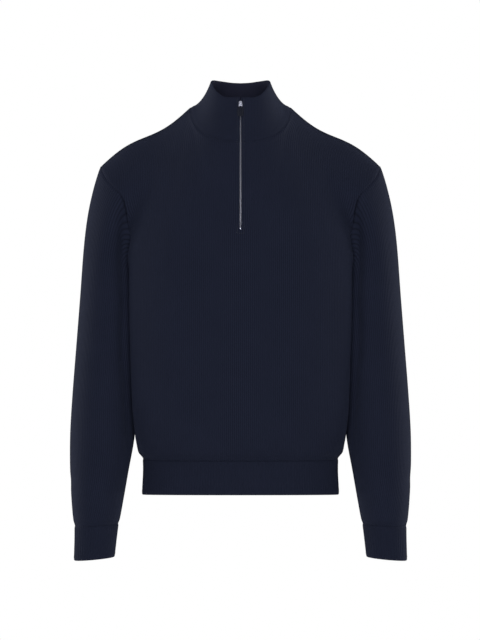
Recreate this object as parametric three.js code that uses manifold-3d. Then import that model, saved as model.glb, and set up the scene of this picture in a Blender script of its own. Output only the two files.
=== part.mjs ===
// A quarter zip sweater in fine navy knit, filled out as if worn, with nobody in it.
//
// Millimetres, +Z up, +Y towards the back, +X towards the sleeve on the wearer's left.
// The origin lies midway between the two neck points, where the shoulders carry the sweater.
//
// Every cloth piece is a wall with its outer face on a surface worked out from the sizes below.
// A surface is read at two numbers: how far across the piece, and how far up it.
// Pieces that are sewn together share the points of their seam, and then part by seamGap.

import * as THREE from 'three';
import { mergeVertices } from 'three/addons/utils/BufferGeometryUtils.js';
import Module from 'manifold-3d';

const wasm = await Module();
wasm.setup();

// Driving sizes

const seamGap = 0.3;
const thick = { body: 2.0, rib: 2.2, collar: 2.3, tape: 0.8 };
const ribs = { pitch: 4.6, height: 0.6 };

const neck = { halfWidth: 86, frontDrop: 64, backDrop: 14, front: -97, back: 78, square: 2.3 };
const shoulder = { y: 8, tipOut: 238, tipDrop: 100, wave: 6.3 };
const levels = {
  underarm: -285, frontTurn: -242, backTurn: -240, hemTop: -598, hemEnd: -658, cuffTop: -709,
};
const hemArch = 4; // the middle of the front hem rides this much higher than its sides

// How many steps each surface is drawn with
const steps = { neck: 8, shoulder: 7, upper: 11, lower: 10, cap: 5, sleeve: 9, collar: 5, curve: 400 };

// How the body's rows bend below the top seams, and how they crowd at the hem and at the underarm
const bodyRows = { climb: 1.5, softness: 0.32, hemCrowd: 0.09, underarmRow: 0.985 };

// The trunk from the hem up: half its width, its depth before and behind the side, how square
// its corners are, and how far its side gives way to the sleeve that hangs there
const trunkTable = [
  { z: -658, half: 167, front: 101, back: 92, square: 2.5, dent: 0 },
  { z: -598, half: 166, front: 100, back: 91, square: 2.5, dent: 0 },
  { z: -586, half: 175, front: 107, back: 97, square: 2.5, dent: 1 },
  { z: -562, half: 185.5, front: 114, back: 103, square: 2.55, dent: 9 },
  { z: -520, half: 192, front: 119, back: 107, square: 2.6, dent: 22 },
  { z: -440, half: 196, front: 122, back: 109, square: 2.6, dent: 32 },
  { z: -360, half: 198, front: 126, back: 113, square: 2.6, dent: 36 },
  { z: -290, half: 198, front: 130, back: 119, square: 2.6, dent: 36 },
  { z: -225, half: 198, front: 133, back: 123, square: 2.55, dent: 34 },
  { z: -170, half: 199, front: 131, back: 123, square: 2.5, dent: 28 },
  { z: -120, half: 204, front: 122, back: 117, square: 2.4, dent: 20 },
  { z: -64, half: 208, front: 105, back: 104, square: 2.3, dent: 10 },
  { z: -14, half: 208, front: 90, back: 70, square: 2.3, dent: 6 },
];
const dent = { y: 20, reach: 50, edge: 4 };
const underarmHeight = 14; // over this last height the side seam leans out to the underarm

// The armhole seam from the underarm to the tip of the shoulder
const frontArmholeTable = [
  { x: 165, y: 8, z: -285 },
  { x: 170, y: -10, z: -272 },
  { x: 181, y: -28, z: -240 },
  { x: 189, y: -44, z: -202 },
  { x: 193, y: -54, z: -172 },
  { x: 200, y: -57, z: -153 },
  { x: 212, y: -50, z: -140 },
  { x: 227, y: -33, z: -123 },
  { x: 236, y: -12, z: -107 },
  { x: 238, y: 8, z: -100 },
];
const backArmholeTable = [
  { x: 165, y: 8, z: -285 },
  { x: 167, y: 30, z: -271 },
  { x: 175, y: 59, z: -240 },
  { x: 184, y: 76, z: -200 },
  { x: 192, y: 82, z: -168 },
  { x: 204, y: 78, z: -146 },
  { x: 218, y: 64, z: -129 },
  { x: 230, y: 44, z: -114 },
  { x: 237, y: 25, z: -104 },
  { x: 238, y: 8, z: -100 },
];

// The sleeve from the cuff's end up: its middle, its half sizes and how much lower its outside is
const sleeveTable = [
  { z: -765, x: 247.5, y: -22, across: 34, deep: 35, slant: 3 },
  { z: -709, x: 244, y: -14, across: 37, deep: 38, slant: 2 },
  { z: -700, x: 244, y: -13, across: 39.5, deep: 42, slant: 1 },
  { z: -672, x: 243, y: -9, across: 43.5, deep: 47, slant: 0 },
  { z: -620, x: 240, y: -2, across: 49.5, deep: 55, slant: 0 },
  { z: -559, x: 235, y: 7, across: 55, deep: 61, slant: 0 },
  { z: -498, x: 232, y: 14, across: 55, deep: 64, slant: 0 },
  { z: -379, x: 225.5, y: 20, across: 52.5, deep: 66, slant: 0 },
  { z: -328, x: 222.5, y: 20, across: 51.5, deep: 66, slant: 0 },
];
const sleeveCap = { ring: -328, outLean: 0.38, underarmLean: 1.1, armCrowd: 1.3, capCrowd: 1.5 };

// The plan of the collar's top edge, and its height at each turn from the middle of the front (0)
// round to the middle of the back (180). It stands lower in front.
const collarTop = { halfWidth: 51, front: -77, side: 2, back: 57, square: 3, backSquare: 2.2 };
const collarEdgeTable = [
  { degrees: 0, height: 10.2 },
  { degrees: 18, height: 10.8 },
  { degrees: 33, height: 15.3 },
  { degrees: 62, height: 29.7 },
  { degrees: 78, height: 37.5 },
  { degrees: 90, height: 42 },
  { degrees: 106, height: 45.7 },
  { degrees: 120, height: 46.8 },
  { degrees: 146, height: 45.9 },
  { degrees: 165, height: 44.4 },
  { degrees: 180, height: 43.8 },
];

// How the collar's side curves from the seam up to that edge
const collarFlare = { side: { out: 0.42, up: 0.08 }, middle: { out: 0.55, up: 0.4 } };

// The zip, from the top of the collar to the foot of the slit
const zip = {
  slitHalf: 2.4, slitEnd: -212, windowHalf: 5.2, windowFoot: -6, windowTurn: 4,
  tapeInner: 1.9, tapeOuter: 13, tapeEnd: -222, tapeTop: 7.5,
  chainHalf: 1.6, chainFront: 0.4, chainBack: 2.6, stopHeight: 2.4, stopFront: -0.2,
  topStop: 6.1, topStopInner: 1.0, topStopOuter: 3.5, topStopBack: 2.2,
};

// Depths here and below count inwards from the outer face of the cloth, and heights from the
// middle of the slider
const slider = {
  middle: 0.8, height: 8.6, shoulderHalf: 4.0, footHalf: 3.1, crownHalf: 2.6, crown: 1.5, waist: 3.3,
  plate: 1.1, channelFront: 0.1, channelBack: 3.9, neckHalf: 0.9, neckHeight: 2.2, chainTop: 1.5,
  bridgeHalf: 1.0, bridgeFoot: -3.2, bridgeTop: 0.9, bridgeRoom: 2.0, bridgeBar: 0.9, overlap: 0.2,
};
const pull = {
  hinge: -1.6, depth: -2.0, wire: 0.5, loopHalf: 2.9, loopLength: 4.8, loopCorner: 0.8, wireSides: 8,
  roll: 1.35, rollHole: 0.8, rollHalf: 1.8, rollSides: 16, tongue: 3, drop: 0.9,
  tabHalf: 4.8, tabLength: 16, tabThick: 1.9, tabRound: 1.8, roundSteps: 4,
};

const quarterTurn = Math.PI / 2;
const slightest = 1e-3; // lengths that differ by less than this count as equal
const mix = (a, b, share) => a + (b - a) * share;
const clamp01 = (value) => Math.min(Math.max(value, 0), 1);
const ease = (value) => {
  const share = clamp01(value);
  return share * share * (3 - 2 * share);
};
const mixPoints = (a, b, share) => a.clone().lerp(b, share);

// How far out and how far away a rounded corner is at a share of its quarter turn, each from 0 to 1.
function corner(share, square) {
  const angle = clamp01(share) * quarterTurn;
  return { out: Math.sin(angle) ** (2 / square), away: Math.max(Math.cos(angle), 0) ** (2 / square) };
}

// Reads a table between its rows, on a smooth curve through all of them.
function tableReader(rows, key) {
  const slopeAt = (row, name) => {
    const before = rows[Math.max(row - 1, 0)];
    const after = rows[Math.min(row + 1, rows.length - 1)];
    return (after[name] - before[name]) / (after[key] - before[key]);
  };
  return (value) => {
    let row = 1;
    while (row < rows.length - 1 && value > rows[row][key]) row += 1;
    const low = rows[row - 1];
    const high = rows[row];
    const span = high[key] - low[key];
    const u = clamp01((value - low[key]) / span);
    const read = {};
    for (const name of Object.keys(low)) {
      const rise = high[name] - low[name];
      const start = slopeAt(row - 1, name) * span;
      const end = slopeAt(row, name) * span;
      const cubic = start + end - 2 * rise;
      read[name] = low[name] + u * (start + u * (rise - start - cubic + u * cubic));
    }
    return read;
  };
}

// Adds to each row of a seam's table how far along the seam it lies, from 0 to 1.
function withShares(rows) {
  let length = 0;
  const far = rows.map((row, i) => {
    const before = rows[Math.max(i - 1, 0)];
    length += Math.hypot(row.x - before.x, row.y - before.y, row.z - before.z);
    return length;
  });
  return rows.map((row, i) => ({ ...row, share: far[i] / length }));
}

const trunkAt = tableReader(trunkTable, 'z');
const sleeveAt = tableReader(sleeveTable, 'z');
const collarEdgeAt = tableReader(collarEdgeTable, 'degrees');

// The two halves of the body. facing is -1 for the front and +1 for the back.
const front = {
  facing: -1, turn: levels.frontTurn, neckZ: -neck.frontDrop, neckY: neck.front,
  armhole: tableReader(withShares(frontArmholeTable), 'share'), depth: (section) => section.front,
};
const back = {
  facing: 1, turn: levels.backTurn, neckZ: -neck.backDrop, neckY: neck.back,
  armhole: tableReader(withShares(backArmholeTable), 'share'), depth: (section) => section.back,
};

// Body

// The neck seam, from the middle of the half (0) to the neck point (1).
function neckSeam(half, share) {
  const { out, away } = corner(share, neck.square);
  return new THREE.Vector3(neck.halfWidth * out, mix(shoulder.y, half.neckY, away), half.neckZ * away);
}

// The shoulder seam, from the neck point (0) to the shoulder's tip (1).
function shoulderSeam(share) {
  const drop = shoulder.tipDrop * share + shoulder.wave * Math.sin(share * 2 * Math.PI);
  return new THREE.Vector3(mix(neck.halfWidth, shoulder.tipOut, share), shoulder.y, -drop);
}

const neckShare = 0.42; // the part of a half panel's top edge that is neck seam

function topSeam(half, across) {
  if (across <= neckShare) return neckSeam(half, across / neckShare);
  return shoulderSeam((across - neckShare) / (1 - neckShare));
}

// Past the middle the top seam goes on as its mirror image, and past the shoulder's tip in line.
function topBeyond(half, across) {
  if (across < 0) return mirrored(topSeam(half, -across));
  if (across > 1) return topSeam(half, 1).multiplyScalar(2).sub(topSeam(half, 2 - across));
  return topSeam(half, across);
}

// The top seam as the rows below it follow it, with the corner at the neck point more and more rounded
function softTop(half, across, rise) {
  const reach = bodyRows.softness * Math.sqrt(1 - rise);
  const beside = mixPoints(topBeyond(half, across - reach), topBeyond(half, across + reach), 0.5);
  return topBeyond(half, across).lerp(beside, 0.5);
}

// A level section of the trunk, from the middle of the half (0) to its side (1).
function trunkPoint(half, across, z) {
  const section = trunkAt(z);
  const { out, away } = corner(across, section.square);
  const y = shoulder.y + half.facing * half.depth(section) * away;
  const pressed = section.dent * out * Math.exp(-(Math.abs((y - dent.y) / dent.reach) ** dent.edge));
  return new THREE.Vector3(section.half * out - pressed, y, z);
}

// The trunk beside an armhole. Its columns slide forward or back along it so that the last one
// reaches the seam, and what the seam still lies further out is shared with the columns next to it.
function besideArmhole(half, across, z, rise) {
  const seam = half.armhole(rise);
  const section = trunkAt(seam.z);
  const away = clamp01((half.facing * (seam.y - shoulder.y)) / half.depth(section));
  const seamAcross = Math.acos(away ** (section.square / 2)) / quarterTurn;
  const share = across ** 3;
  const further = seam.x - trunkPoint(half, seamAcross, seam.z).x;
  const point = trunkPoint(half, across - (1 - seamAcross) * share, z);
  point.x += further * share;
  return point;
}

// Half a body panel. across runs from its middle (0) to its side (1).
// up runs from the hem (0) to the row that ends at the underarm (1), and on to the top seam (2).
function bodyPoint(half, across, up) {
  const rise = Math.max(up - 1, 0);
  const middleZ = mix(half.turn, half.neckZ, rise);
  const sideZ = half.armhole(rise).z;
  const turnZ = mix(middleZ, sideZ, across ** 3);
  if (up <= 1) {
    const z = mix(levels.hemTop, turnZ, up);
    const below = (1 - up) * (levels.underarm - levels.hemTop);
    const lean = clamp01(1 - below / underarmHeight) ** 2;
    return trunkPoint(half, across, z).lerp(besideArmhole(half, across, z, 0), lean);
  }
  const trunk = besideArmhole(half, across, turnZ, rise);
  const middleShift = trunkPoint(half, 0, middleZ).sub(softTop(half, 0, rise));
  const edgeShift = besideArmhole(half, 1, sideZ, rise).sub(softTop(half, 1, rise));
  const top = softTop(half, across, rise)
    .addScaledVector(middleShift, 1 - across ** 3)
    .addScaledVector(edgeShift, across ** 3);
  const angle = rise * quarterTurn;
  return new THREE.Vector3(
    mix(trunk.x, top.x, ease(rise)),
    mix(trunk.y, top.y, 1 - Math.cos(angle)),
    mix(trunk.z, top.z, Math.sin(angle) ** bodyRows.climb),
  );
}

const acrossSteps = [];
for (let i = 0; i < steps.neck; i += 1) acrossSteps.push((neckShare * i) / steps.neck);
for (let i = 0; i <= steps.shoulder; i += 1) acrossSteps.push(mix(neckShare, 1, i / steps.shoulder));

// Rows crowd towards the hem, where the cloth blouses, and towards the underarm's arch.
const upSteps = [];
for (let i = 0; i < steps.lower; i += 1) {
  const share = i / steps.lower;
  upSteps.push(share - Math.sin(share * 2 * Math.PI) * bodyRows.hemCrowd);
}
upSteps.push(bodyRows.underarmRow);
for (let i = 0; i <= steps.upper; i += 1) upSteps.push(1 + i / steps.upper);

const mirrored = (point) => new THREE.Vector3(-point.x, point.y, point.z);

// A whole panel as rows of points, from its edge on the right of whoever faces it to its left.
function bodyGrid(half) {
  const rows = upSteps.map((up) => {
    const right = acrossSteps.map((across) => bodyPoint(half, across, up));
    const left = right.slice(1).reverse().map(mirrored);
    return [...left, ...right];
  });
  return half.facing < 0 ? rows : rows.map((row) => row.reverse());
}

// Sleeve

const sleeveColumns = 2 * steps.upper;

// Where a column of the sleeve begins on the armhole, and its turn round the sleeve from the outside.
function armholeStart(column) {
  const behind = column <= steps.upper;
  const fromTip = behind ? column / steps.upper : (sleeveColumns - column) / steps.upper;
  const seam = (behind ? back : front).armhole(1 - fromTip);
  const turn = fromTip * Math.PI;
  return { point: new THREE.Vector3(seam.x, seam.y, seam.z), turn: behind ? turn : -turn, fromTip };
}

function sleeveRing(z, turn) {
  const ring = sleeveAt(z);
  const x = ring.x + ring.across * Math.cos(turn);
  const y = ring.y + ring.deep * Math.sin(turn);
  return new THREE.Vector3(x, y, z - ring.slant * Math.cos(turn));
}

// The cap of the sleeve runs in a smooth curve from its ring at the upper arm (0) to the armhole (1).
function sleeveCapPoint(column, share) {
  const start = armholeStart(column);
  const end = sleeveRing(sleeveCap.ring, start.turn);
  const below = sleeveRing(sleeveCap.ring - 1, start.turn);
  const length = start.point.distanceTo(end);
  const lean = mix(sleeveCap.outLean, sleeveCap.underarmLean, start.fromTip);
  const leaving = new THREE.Vector3(lean, 0, -1).normalize().multiplyScalar(length);
  const arriving = below.sub(end).normalize().multiplyScalar(length);
  const t = 1 - share;
  return start.point.clone().multiplyScalar(2 * t ** 3 - 3 * t ** 2 + 1)
    .addScaledVector(leaving, t ** 3 - 2 * t ** 2 + t)
    .addScaledVector(end, 3 * t ** 2 - 2 * t ** 3)
    .addScaledVector(arriving, t ** 3 - t ** 2);
}

// The sleeve on the wearer's left, in rings from the cuff up to the armhole.
function sleeveGrid() {
  const columns = Array.from({ length: sleeveColumns }, (_, column) => column);
  const rows = [];
  for (let i = 0; i < steps.sleeve; i += 1) {
    const share = (i / steps.sleeve) ** sleeveCap.armCrowd;
    const z = mix(levels.cuffTop, sleeveCap.ring, share);
    rows.push(columns.map((column) => sleeveRing(z, armholeStart(column).turn)));
  }
  for (let i = 0; i <= steps.cap; i += 1) {
    const share = 1 - (1 - i / steps.cap) ** sleeveCap.capCrowd;
    rows.push(columns.map((column) => sleeveCapPoint(column, share)));
  }
  return rows;
}

const mirroredGrid = (rows) => rows.map((row) => row.map(mirrored).reverse());

// Collar

// A half of the collar. around runs from the middle (0) to the neck point (1), and up from seam to edge.
function collarPoint(half, around, up) {
  const foot = neckSeam(half, around);
  const { out, away } = corner(around, half.facing < 0 ? collarTop.square : collarTop.backSquare);
  const degrees = half.facing < 0 ? around * 90 : 180 - around * 90;
  const edge = new THREE.Vector3(
    collarTop.halfWidth * out,
    mix(collarTop.side, half.facing < 0 ? collarTop.front : collarTop.back, away),
    collarEdgeAt(degrees).height,
  );
  const side = Math.sin(around * quarterTurn) ** 2;
  const bendOut = mix(collarFlare.middle.out, collarFlare.side.out, side);
  const bendUp = mix(collarFlare.middle.up, collarFlare.side.up, side);
  const bend = new THREE.Vector3(
    mix(edge.x, foot.x, bendOut), mix(edge.y, foot.y, bendOut), mix(foot.z, edge.z, bendUp),
  );
  return mixPoints(mixPoints(foot, bend, up), mixPoints(bend, edge, up), up);
}

// The collar as closed rings, from the middle of the front round by the wearer's left.
function collarGrid() {
  const rows = [];
  for (let i = 0; i <= steps.collar; i += 1) {
    const up = i / steps.collar;
    const shares = Array.from({ length: steps.neck }, (_, k) => k / steps.neck);
    const quarterFront = shares.map((share) => collarPoint(front, share, up));
    const quarterBack = shares.map((share) => collarPoint(back, 1 - share, up));
    const otherBack = shares.map((share) => mirrored(collarPoint(back, share, up)));
    const otherFront = shares.map((share) => mirrored(collarPoint(front, 1 - share, up)));
    rows.push([...quarterFront, ...quarterBack, ...otherBack, ...otherFront]);
  }
  return rows;
}

// Walls

// The outward directions of a grid of points.
function outwards(rows, { around = false } = {}) {
  const last = rows.length - 1;
  return rows.map((row, i) => row.map((point, j) => {
    const end = row.length - 1;
    const before = j > 0 ? row[j - 1] : around ? row[end] : point;
    const after = j < end ? row[j + 1] : around ? row[0] : point;
    const under = i > 0 ? rows[i - 1][j] : point;
    const over = i < last ? rows[i + 1][j] : point;
    return after.clone().sub(before).cross(over.clone().sub(under)).normalize();
  }));
}

// Moves the points of each shared edge away from the neighbour by half the seam's gap.
function partAtSeams(rows, { beyond = {} } = {}) {
  const last = rows.length - 1;
  return rows.map((row, i) => row.map((point, j) => {
    const moved = point.clone();
    const part = (neighbours, own) => {
      for (const other of neighbours ?? []) {
        moved.addScaledVector(other.clone().sub(own).normalize(), -seamGap / 2);
      }
    };
    if (i === 0) part(beyond.under?.[j], rows[1][j]);
    if (i === last) part(beyond.over?.[j], rows[last - 1][j]);
    if (j === 0) part(beyond.before?.[i], row[1]);
    if (j === row.length - 1) part(beyond.after?.[i], row[row.length - 2]);
    return moved;
  }));
}

// A closed wall. Its outer face lies on the points, raised by relief, and its inner face is a
// thickness further in. Every quad is split along its shorter diagonal, so that the two sides of
// the sweater mirror each other and the edges of two sewn pieces match.
function wall(rows, directions, thickness, { around = false, relief = () => 0 } = {}) {
  const height = rows.length;
  const width = rows[0].length;
  const points = [];
  const addLayer = (depth) => rows.forEach((row, i) => row.forEach((point, j) => {
    points.push(point.clone().addScaledVector(directions[i][j], depth(i, j)));
  }));
  addLayer(relief);
  addLayer(() => -thickness);
  const outer = (i, j) => i * width + (j % width);
  const inner = (i, j) => height * width + outer(i, j);
  const faces = [];
  const quad = (a, b, c, d) => {
    const straight = points[a].distanceTo(points[c]) < points[b].distanceTo(points[d]) + slightest;
    faces.push(...(straight ? [a, b, c, a, c, d] : [a, b, d, b, c, d]));
  };
  const columns = around ? width : width - 1;
  for (let i = 0; i < height - 1; i += 1) {
    for (let j = 0; j < columns; j += 1) {
      quad(outer(i, j), outer(i, j + 1), outer(i + 1, j + 1), outer(i + 1, j));
      quad(inner(i, j), inner(i + 1, j), inner(i + 1, j + 1), inner(i, j + 1));
    }
  }
  for (let j = 0; j < columns; j += 1) {
    quad(outer(0, j), inner(0, j), inner(0, j + 1), outer(0, j + 1));
    const top = height - 1;
    quad(outer(top, j), outer(top, j + 1), inner(top, j + 1), inner(top, j));
  }
  for (let i = 0; i < height - 1 && !around; i += 1) {
    const end = width - 1;
    quad(outer(i, 0), outer(i + 1, 0), inner(i + 1, 0), inner(i, 0));
    quad(outer(i, end), inner(i, end), inner(i + 1, end), outer(i + 1, end));
  }
  return meshGeometry(points.flatMap((point) => point.toArray()), faces);
}

function meshGeometry(positions, faces) {
  const geometry = new THREE.BufferGeometry();
  geometry.setAttribute('position', new THREE.Float32BufferAttribute(positions, 3));
  geometry.setIndex(faces);
  return geometry;
}

// Cloth that hangs straight meets the band below it with a level edge.
function levelEdge(directions, row) {
  directions[row].forEach((direction) => direction.setZ(0).normalize());
}

// Booleans

function toSolid(geometry) {
  const bare = geometry.clone();
  for (const name of Object.keys(bare.attributes)) if (name !== 'position') bare.deleteAttribute(name);
  const merged = mergeVertices(bare, 1e-4);
  return new wasm.Manifold(new wasm.Mesh({
    numProp: 3,
    vertProperties: new Float32Array(merged.attributes.position.array),
    triVerts: new Uint32Array(merged.index.array),
  }));
}

function toGeometry(solid) {
  const mesh = solid.getMesh();
  return meshGeometry([...mesh.vertProperties], [...mesh.triVerts]);
}

const cut = (geometry, cutter) => toGeometry(toSolid(geometry).subtract(toSolid(cutter)));
const join = (...geometries) => toGeometry(geometries.map(toSolid).reduce((all, one) => all.add(one)));

// Materials

const knit = (color) => new THREE.MeshStandardMaterial({ color, roughness: 0.95, metalness: 0 });
const navyKnit = knit(0x1e212d);
const navyRib = knit(0x1d202b);
const tapeCloth = new THREE.MeshStandardMaterial({ color: 0x14161d, roughness: 0.8, metalness: 0 });
const zipMetal = new THREE.MeshStandardMaterial({ color: 0xb9bac2, roughness: 0.3, metalness: 1 });
const pullLeather = new THREE.MeshStandardMaterial({ color: 0x22242b, roughness: 0.6, metalness: 0 });

const sweater = new THREE.Group();

function addPiece(name, geometry, material, parent = sweater) {
  const mesh = new THREE.Mesh(geometry, material);
  mesh.name = name;
  parent.add(mesh);
  return mesh;
}

// The body, the sleeves and the collar are drawn first, because each needs its neighbours' points.

const frontRows = bodyGrid(front);
const backRows = bodyGrid(back);
const sleeveRows = sleeveGrid();
const otherSleeveRows = mirroredGrid(sleeveRows);
const collarRows = collarGrid();
const topRow = frontRows.length - 1;
const underarmRow = topRow - steps.upper;
const widest = frontRows[0].length - 1;
const middle = widest / 2;

// Past a panel's side edge lies the other panel, up to the underarm, and then the sleeve.
function beyondSide(otherPanel, otherColumn, sleeve, sleeveColumn) {
  const ring = sleeve[sleeve.length - 2];
  const beside = otherColumn === 0 ? 1 : otherColumn - 1;
  return otherPanel.map((row, i) => {
    if (i < underarmRow) return [row[beside]];
    const cap = ring[sleeveColumn(i - underarmRow)];
    return i === underarmRow ? [row[beside], cap] : [cap];
  });
}

// Past a panel's top edge lies the collar in the middle, and the other panel along the shoulders.
function beyondTop(otherPanel, collarColumn) {
  const ring = collarRows[1];
  return otherPanel[topRow].map((_, j) => {
    const fromMiddle = Math.abs(j - middle);
    const shoulderPoint = otherPanel[topRow - 1][widest - j];
    if (fromMiddle > steps.neck) return [shoulderPoint];
    const collar = ring[collarColumn(j - middle)];
    return fromMiddle === steps.neck ? [collar, shoulderPoint] : [collar];
  });
}

const collarWidth = collarRows[0].length;
const wrap = (column, count) => ((column % count) + count) % count;

// The sleeve's column at each row of a panel above the underarm. The other sleeve counts the other way.
const inFrontOf = (k) => wrap(steps.upper + k, sleeveColumns);
const behind = (k) => steps.upper - k;
const otherInFront = (k) => wrap(steps.upper - 1 - k, sleeveColumns);
const otherBehind = (k) => steps.upper - 1 + k;

const frontBeyond = {
  before: beyondSide(backRows, widest, otherSleeveRows, otherInFront),
  after: beyondSide(backRows, 0, sleeveRows, inFrontOf),
  over: beyondTop(backRows, (k) => wrap(k, collarWidth)),
};
const backBeyond = {
  before: beyondSide(frontRows, widest, sleeveRows, behind),
  after: beyondSide(frontRows, 0, otherSleeveRows, otherBehind),
  over: beyondTop(frontRows, (k) => wrap(collarWidth / 2 + k, collarWidth)),
};

// Past the sleeve's top ring lie the columns of the panels next to the armhole.
const sleeveBeyond = {
  over: sleeveRows[0].map((_, column) => {
    if (column === 0) {
      return [backRows[topRow][1], frontRows[topRow][widest - 1]];
    }
    if (column < steps.upper) return [backRows[topRow - column][1]];
    if (column === steps.upper) return [backRows[underarmRow][1], frontRows[underarmRow][widest - 1]];
    return [frontRows[underarmRow + column - steps.upper][widest - 1]];
  }),
};
const otherSleeveBeyond = { over: sleeveBeyond.over.map((points) => points.map(mirrored)).reverse() };

// Past the collar's foot lie the rows of the panels below the neck seam.
const collarBeyond = {
  under: collarRows[0].map((_, column) => {
    const fromFront = column <= collarWidth / 2 ? column : column - collarWidth;
    const inFront = Math.abs(fromFront) < steps.neck;
    const frontPoint = frontRows[topRow - 1][wrap(middle + fromFront, widest + 1)];
    const backPoint = backRows[topRow - 1][wrap(middle + column - collarWidth / 2, widest + 1)];
    if (Math.abs(fromFront) === steps.neck) return [frontPoint, backPoint];
    return inFront ? [frontPoint] : [backPoint];
  }),
};

const clothPieces = {
  front_panel: { rows: frontRows, beyond: frontBeyond, thickness: thick.body },
  back_panel: { rows: backRows, beyond: backBeyond, thickness: thick.body },
  sleeve_left: { rows: sleeveRows, beyond: sleeveBeyond, around: true, thickness: thick.body },
  sleeve_right: { rows: otherSleeveRows, beyond: otherSleeveBeyond, around: true, thickness: thick.body },
  collar: { rows: collarRows, beyond: collarBeyond, around: true, thickness: thick.collar },
};

// The ways from an edge point into its own piece.
function waysIn({ rows, around }, i, j) {
  const last = rows.length - 1;
  const end = rows[i].length - 1;
  const ways = [];
  if (i === 0) ways.push(rows[1][j]);
  if (i === last) ways.push(rows[last - 1][j]);
  if (j === 0 && !around) ways.push(rows[i][1]);
  if (j === end && !around) ways.push(rows[i][end - 1]);
  return ways.map((way) => way.clone().sub(rows[i][j]).normalize());
}

// Points that several pieces share also share one outward direction, which halves the angle between
// the pieces. The ways into the pieces keep it true where two pieces lie almost face to face.
function agreeOnDirections(pieces) {
  const shared = new Map();
  for (const piece of pieces) {
    piece.directions = outwards(piece.rows, piece);
    piece.rows.forEach((row, i) => row.forEach((point, j) => {
      const key = point.toArray().map((value) => Math.round(value * 100)).join();
      if (!shared.has(key)) shared.set(key, { directions: [], ways: [] });
      shared.get(key).directions.push(piece.directions[i][j]);
      shared.get(key).ways.push(...waysIn(piece, i, j));
    }));
  }
  for (const { directions, ways } of shared.values()) {
    const all = directions.length > 1 ? [...directions, ...ways] : directions;
    const sum = all.reduce((total, one) => total.add(one), new THREE.Vector3()).normalize();
    directions.forEach((direction) => direction.copy(sum));
  }
}

agreeOnDirections(Object.values(clothPieces));
for (const piece of Object.values(clothPieces)) piece.rows = partAtSeams(piece.rows, piece);
for (const name of ['front_panel', 'back_panel', 'sleeve_left', 'sleeve_right']) {
  const piece = clothPieces[name];
  levelEdge(piece.directions, 0);
  piece.rows[0].forEach((point) => point.setZ(point.z + seamGap / 2));
}

for (const [name, piece] of Object.entries(clothPieces)) {
  piece.geometry = wall(piece.rows, piece.directions, piece.thickness, piece);
}

// The slit down the front, with a wider window where the slider stands
function slitCutter() {
  const reach = 200;
  const backOfCutter = -30; // it stays in front of the back half
  const outline = new THREE.Shape([
    new THREE.Vector2(-zip.slitHalf, zip.slitEnd),
    new THREE.Vector2(zip.slitHalf, zip.slitEnd),
    new THREE.Vector2(zip.slitHalf, zip.windowFoot - zip.windowTurn),
    new THREE.Vector2(zip.windowHalf, zip.windowFoot),
    new THREE.Vector2(zip.windowHalf, reach),
    new THREE.Vector2(-zip.windowHalf, reach),
    new THREE.Vector2(-zip.windowHalf, zip.windowFoot),
    new THREE.Vector2(-zip.slitHalf, zip.windowFoot - zip.windowTurn),
  ]);
  const prism = new THREE.ExtrudeGeometry(outline, { depth: reach, bevelEnabled: false });
  return prism.rotateX(quarterTurn).translate(0, backOfCutter, 0);
}

for (const name of ['front_panel', 'collar']) {
  clothPieces[name].geometry = cut(clothPieces[name].geometry, slitCutter());
}
for (const [name, piece] of Object.entries(clothPieces)) addPiece(name, piece.geometry, navyKnit);

// Zip

const panelWays = clothPieces.front_panel.directions;
const collarWays = clothPieces.collar.directions;
const frontLevels = [
  ...frontRows.map((row, i) => ({
    points: row.slice(middle), directions: panelWays[i].slice(middle), thickness: thick.body,
  })),
  ...collarRows.slice(1).map((row, i) => ({
    points: row.slice(0, steps.neck + 1), directions: collarWays[i + 1], thickness: thick.collar,
  })),
];
frontLevels[topRow].thickness = thick.collar;

// The outer face of the front beside its middle line, on one row of the panel or of the collar
function onLevel({ points, directions, thickness }, x) {
  const j = Math.max(points.findIndex((point) => point.x > Math.abs(x)), 1);
  const share = (Math.abs(x) - points[j - 1].x) / (points[j].x - points[j - 1].x);
  const point = mixPoints(points[j - 1], points[j], share);
  const direction = mixPoints(directions[j - 1], directions[j], share).setX(0).normalize();
  return { point: x < 0 ? mirrored(point) : point, direction, thickness };
}

// The same at a place between two rows, counted in rows from the hem
function onFront(place, x) {
  const level = Math.min(Math.floor(place), frontLevels.length - 2);
  const below = onLevel(frontLevels[level], x);
  const above = onLevel(frontLevels[level + 1], x);
  const share = place - level;
  return {
    point: mixPoints(below.point, above.point, share),
    direction: mixPoints(below.direction, above.direction, share).normalize(),
    thickness: mix(below.thickness, above.thickness, share),
  };
}

function placeAt(z) {
  const level = frontLevels.findIndex(({ points }) => points[0].z > z) - 1;
  const low = frontLevels[level].points[0].z;
  return level + (z - low) / (frontLevels[level + 1].points[0].z - low);
}

// The two places and every row between them that isn't too near to either
function placesBetween(fromZ, toZ) {
  const from = placeAt(fromZ);
  const to = placeAt(toZ);
  const apart = 0.05;
  const levelsBetween = frontLevels
    .map((_, level) => level)
    .filter((level) => level > from + apart && level < to - apart);
  return [from, ...levelsBetween, to];
}

// A strip along the front, at the given distances from the middle line.
function strip(xs, fromZ, toZ, depthOf, thickness) {
  const samples = placesBetween(fromZ, toZ).map((place) => xs.map((x) => onFront(place, x)));
  const rows = samples.map((row) => row.map((one) => (
    one.point.clone().addScaledVector(one.direction, -depthOf(one.thickness)))));
  return wall(rows, samples.map((row) => row.map((one) => one.direction)), thickness);
}

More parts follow.
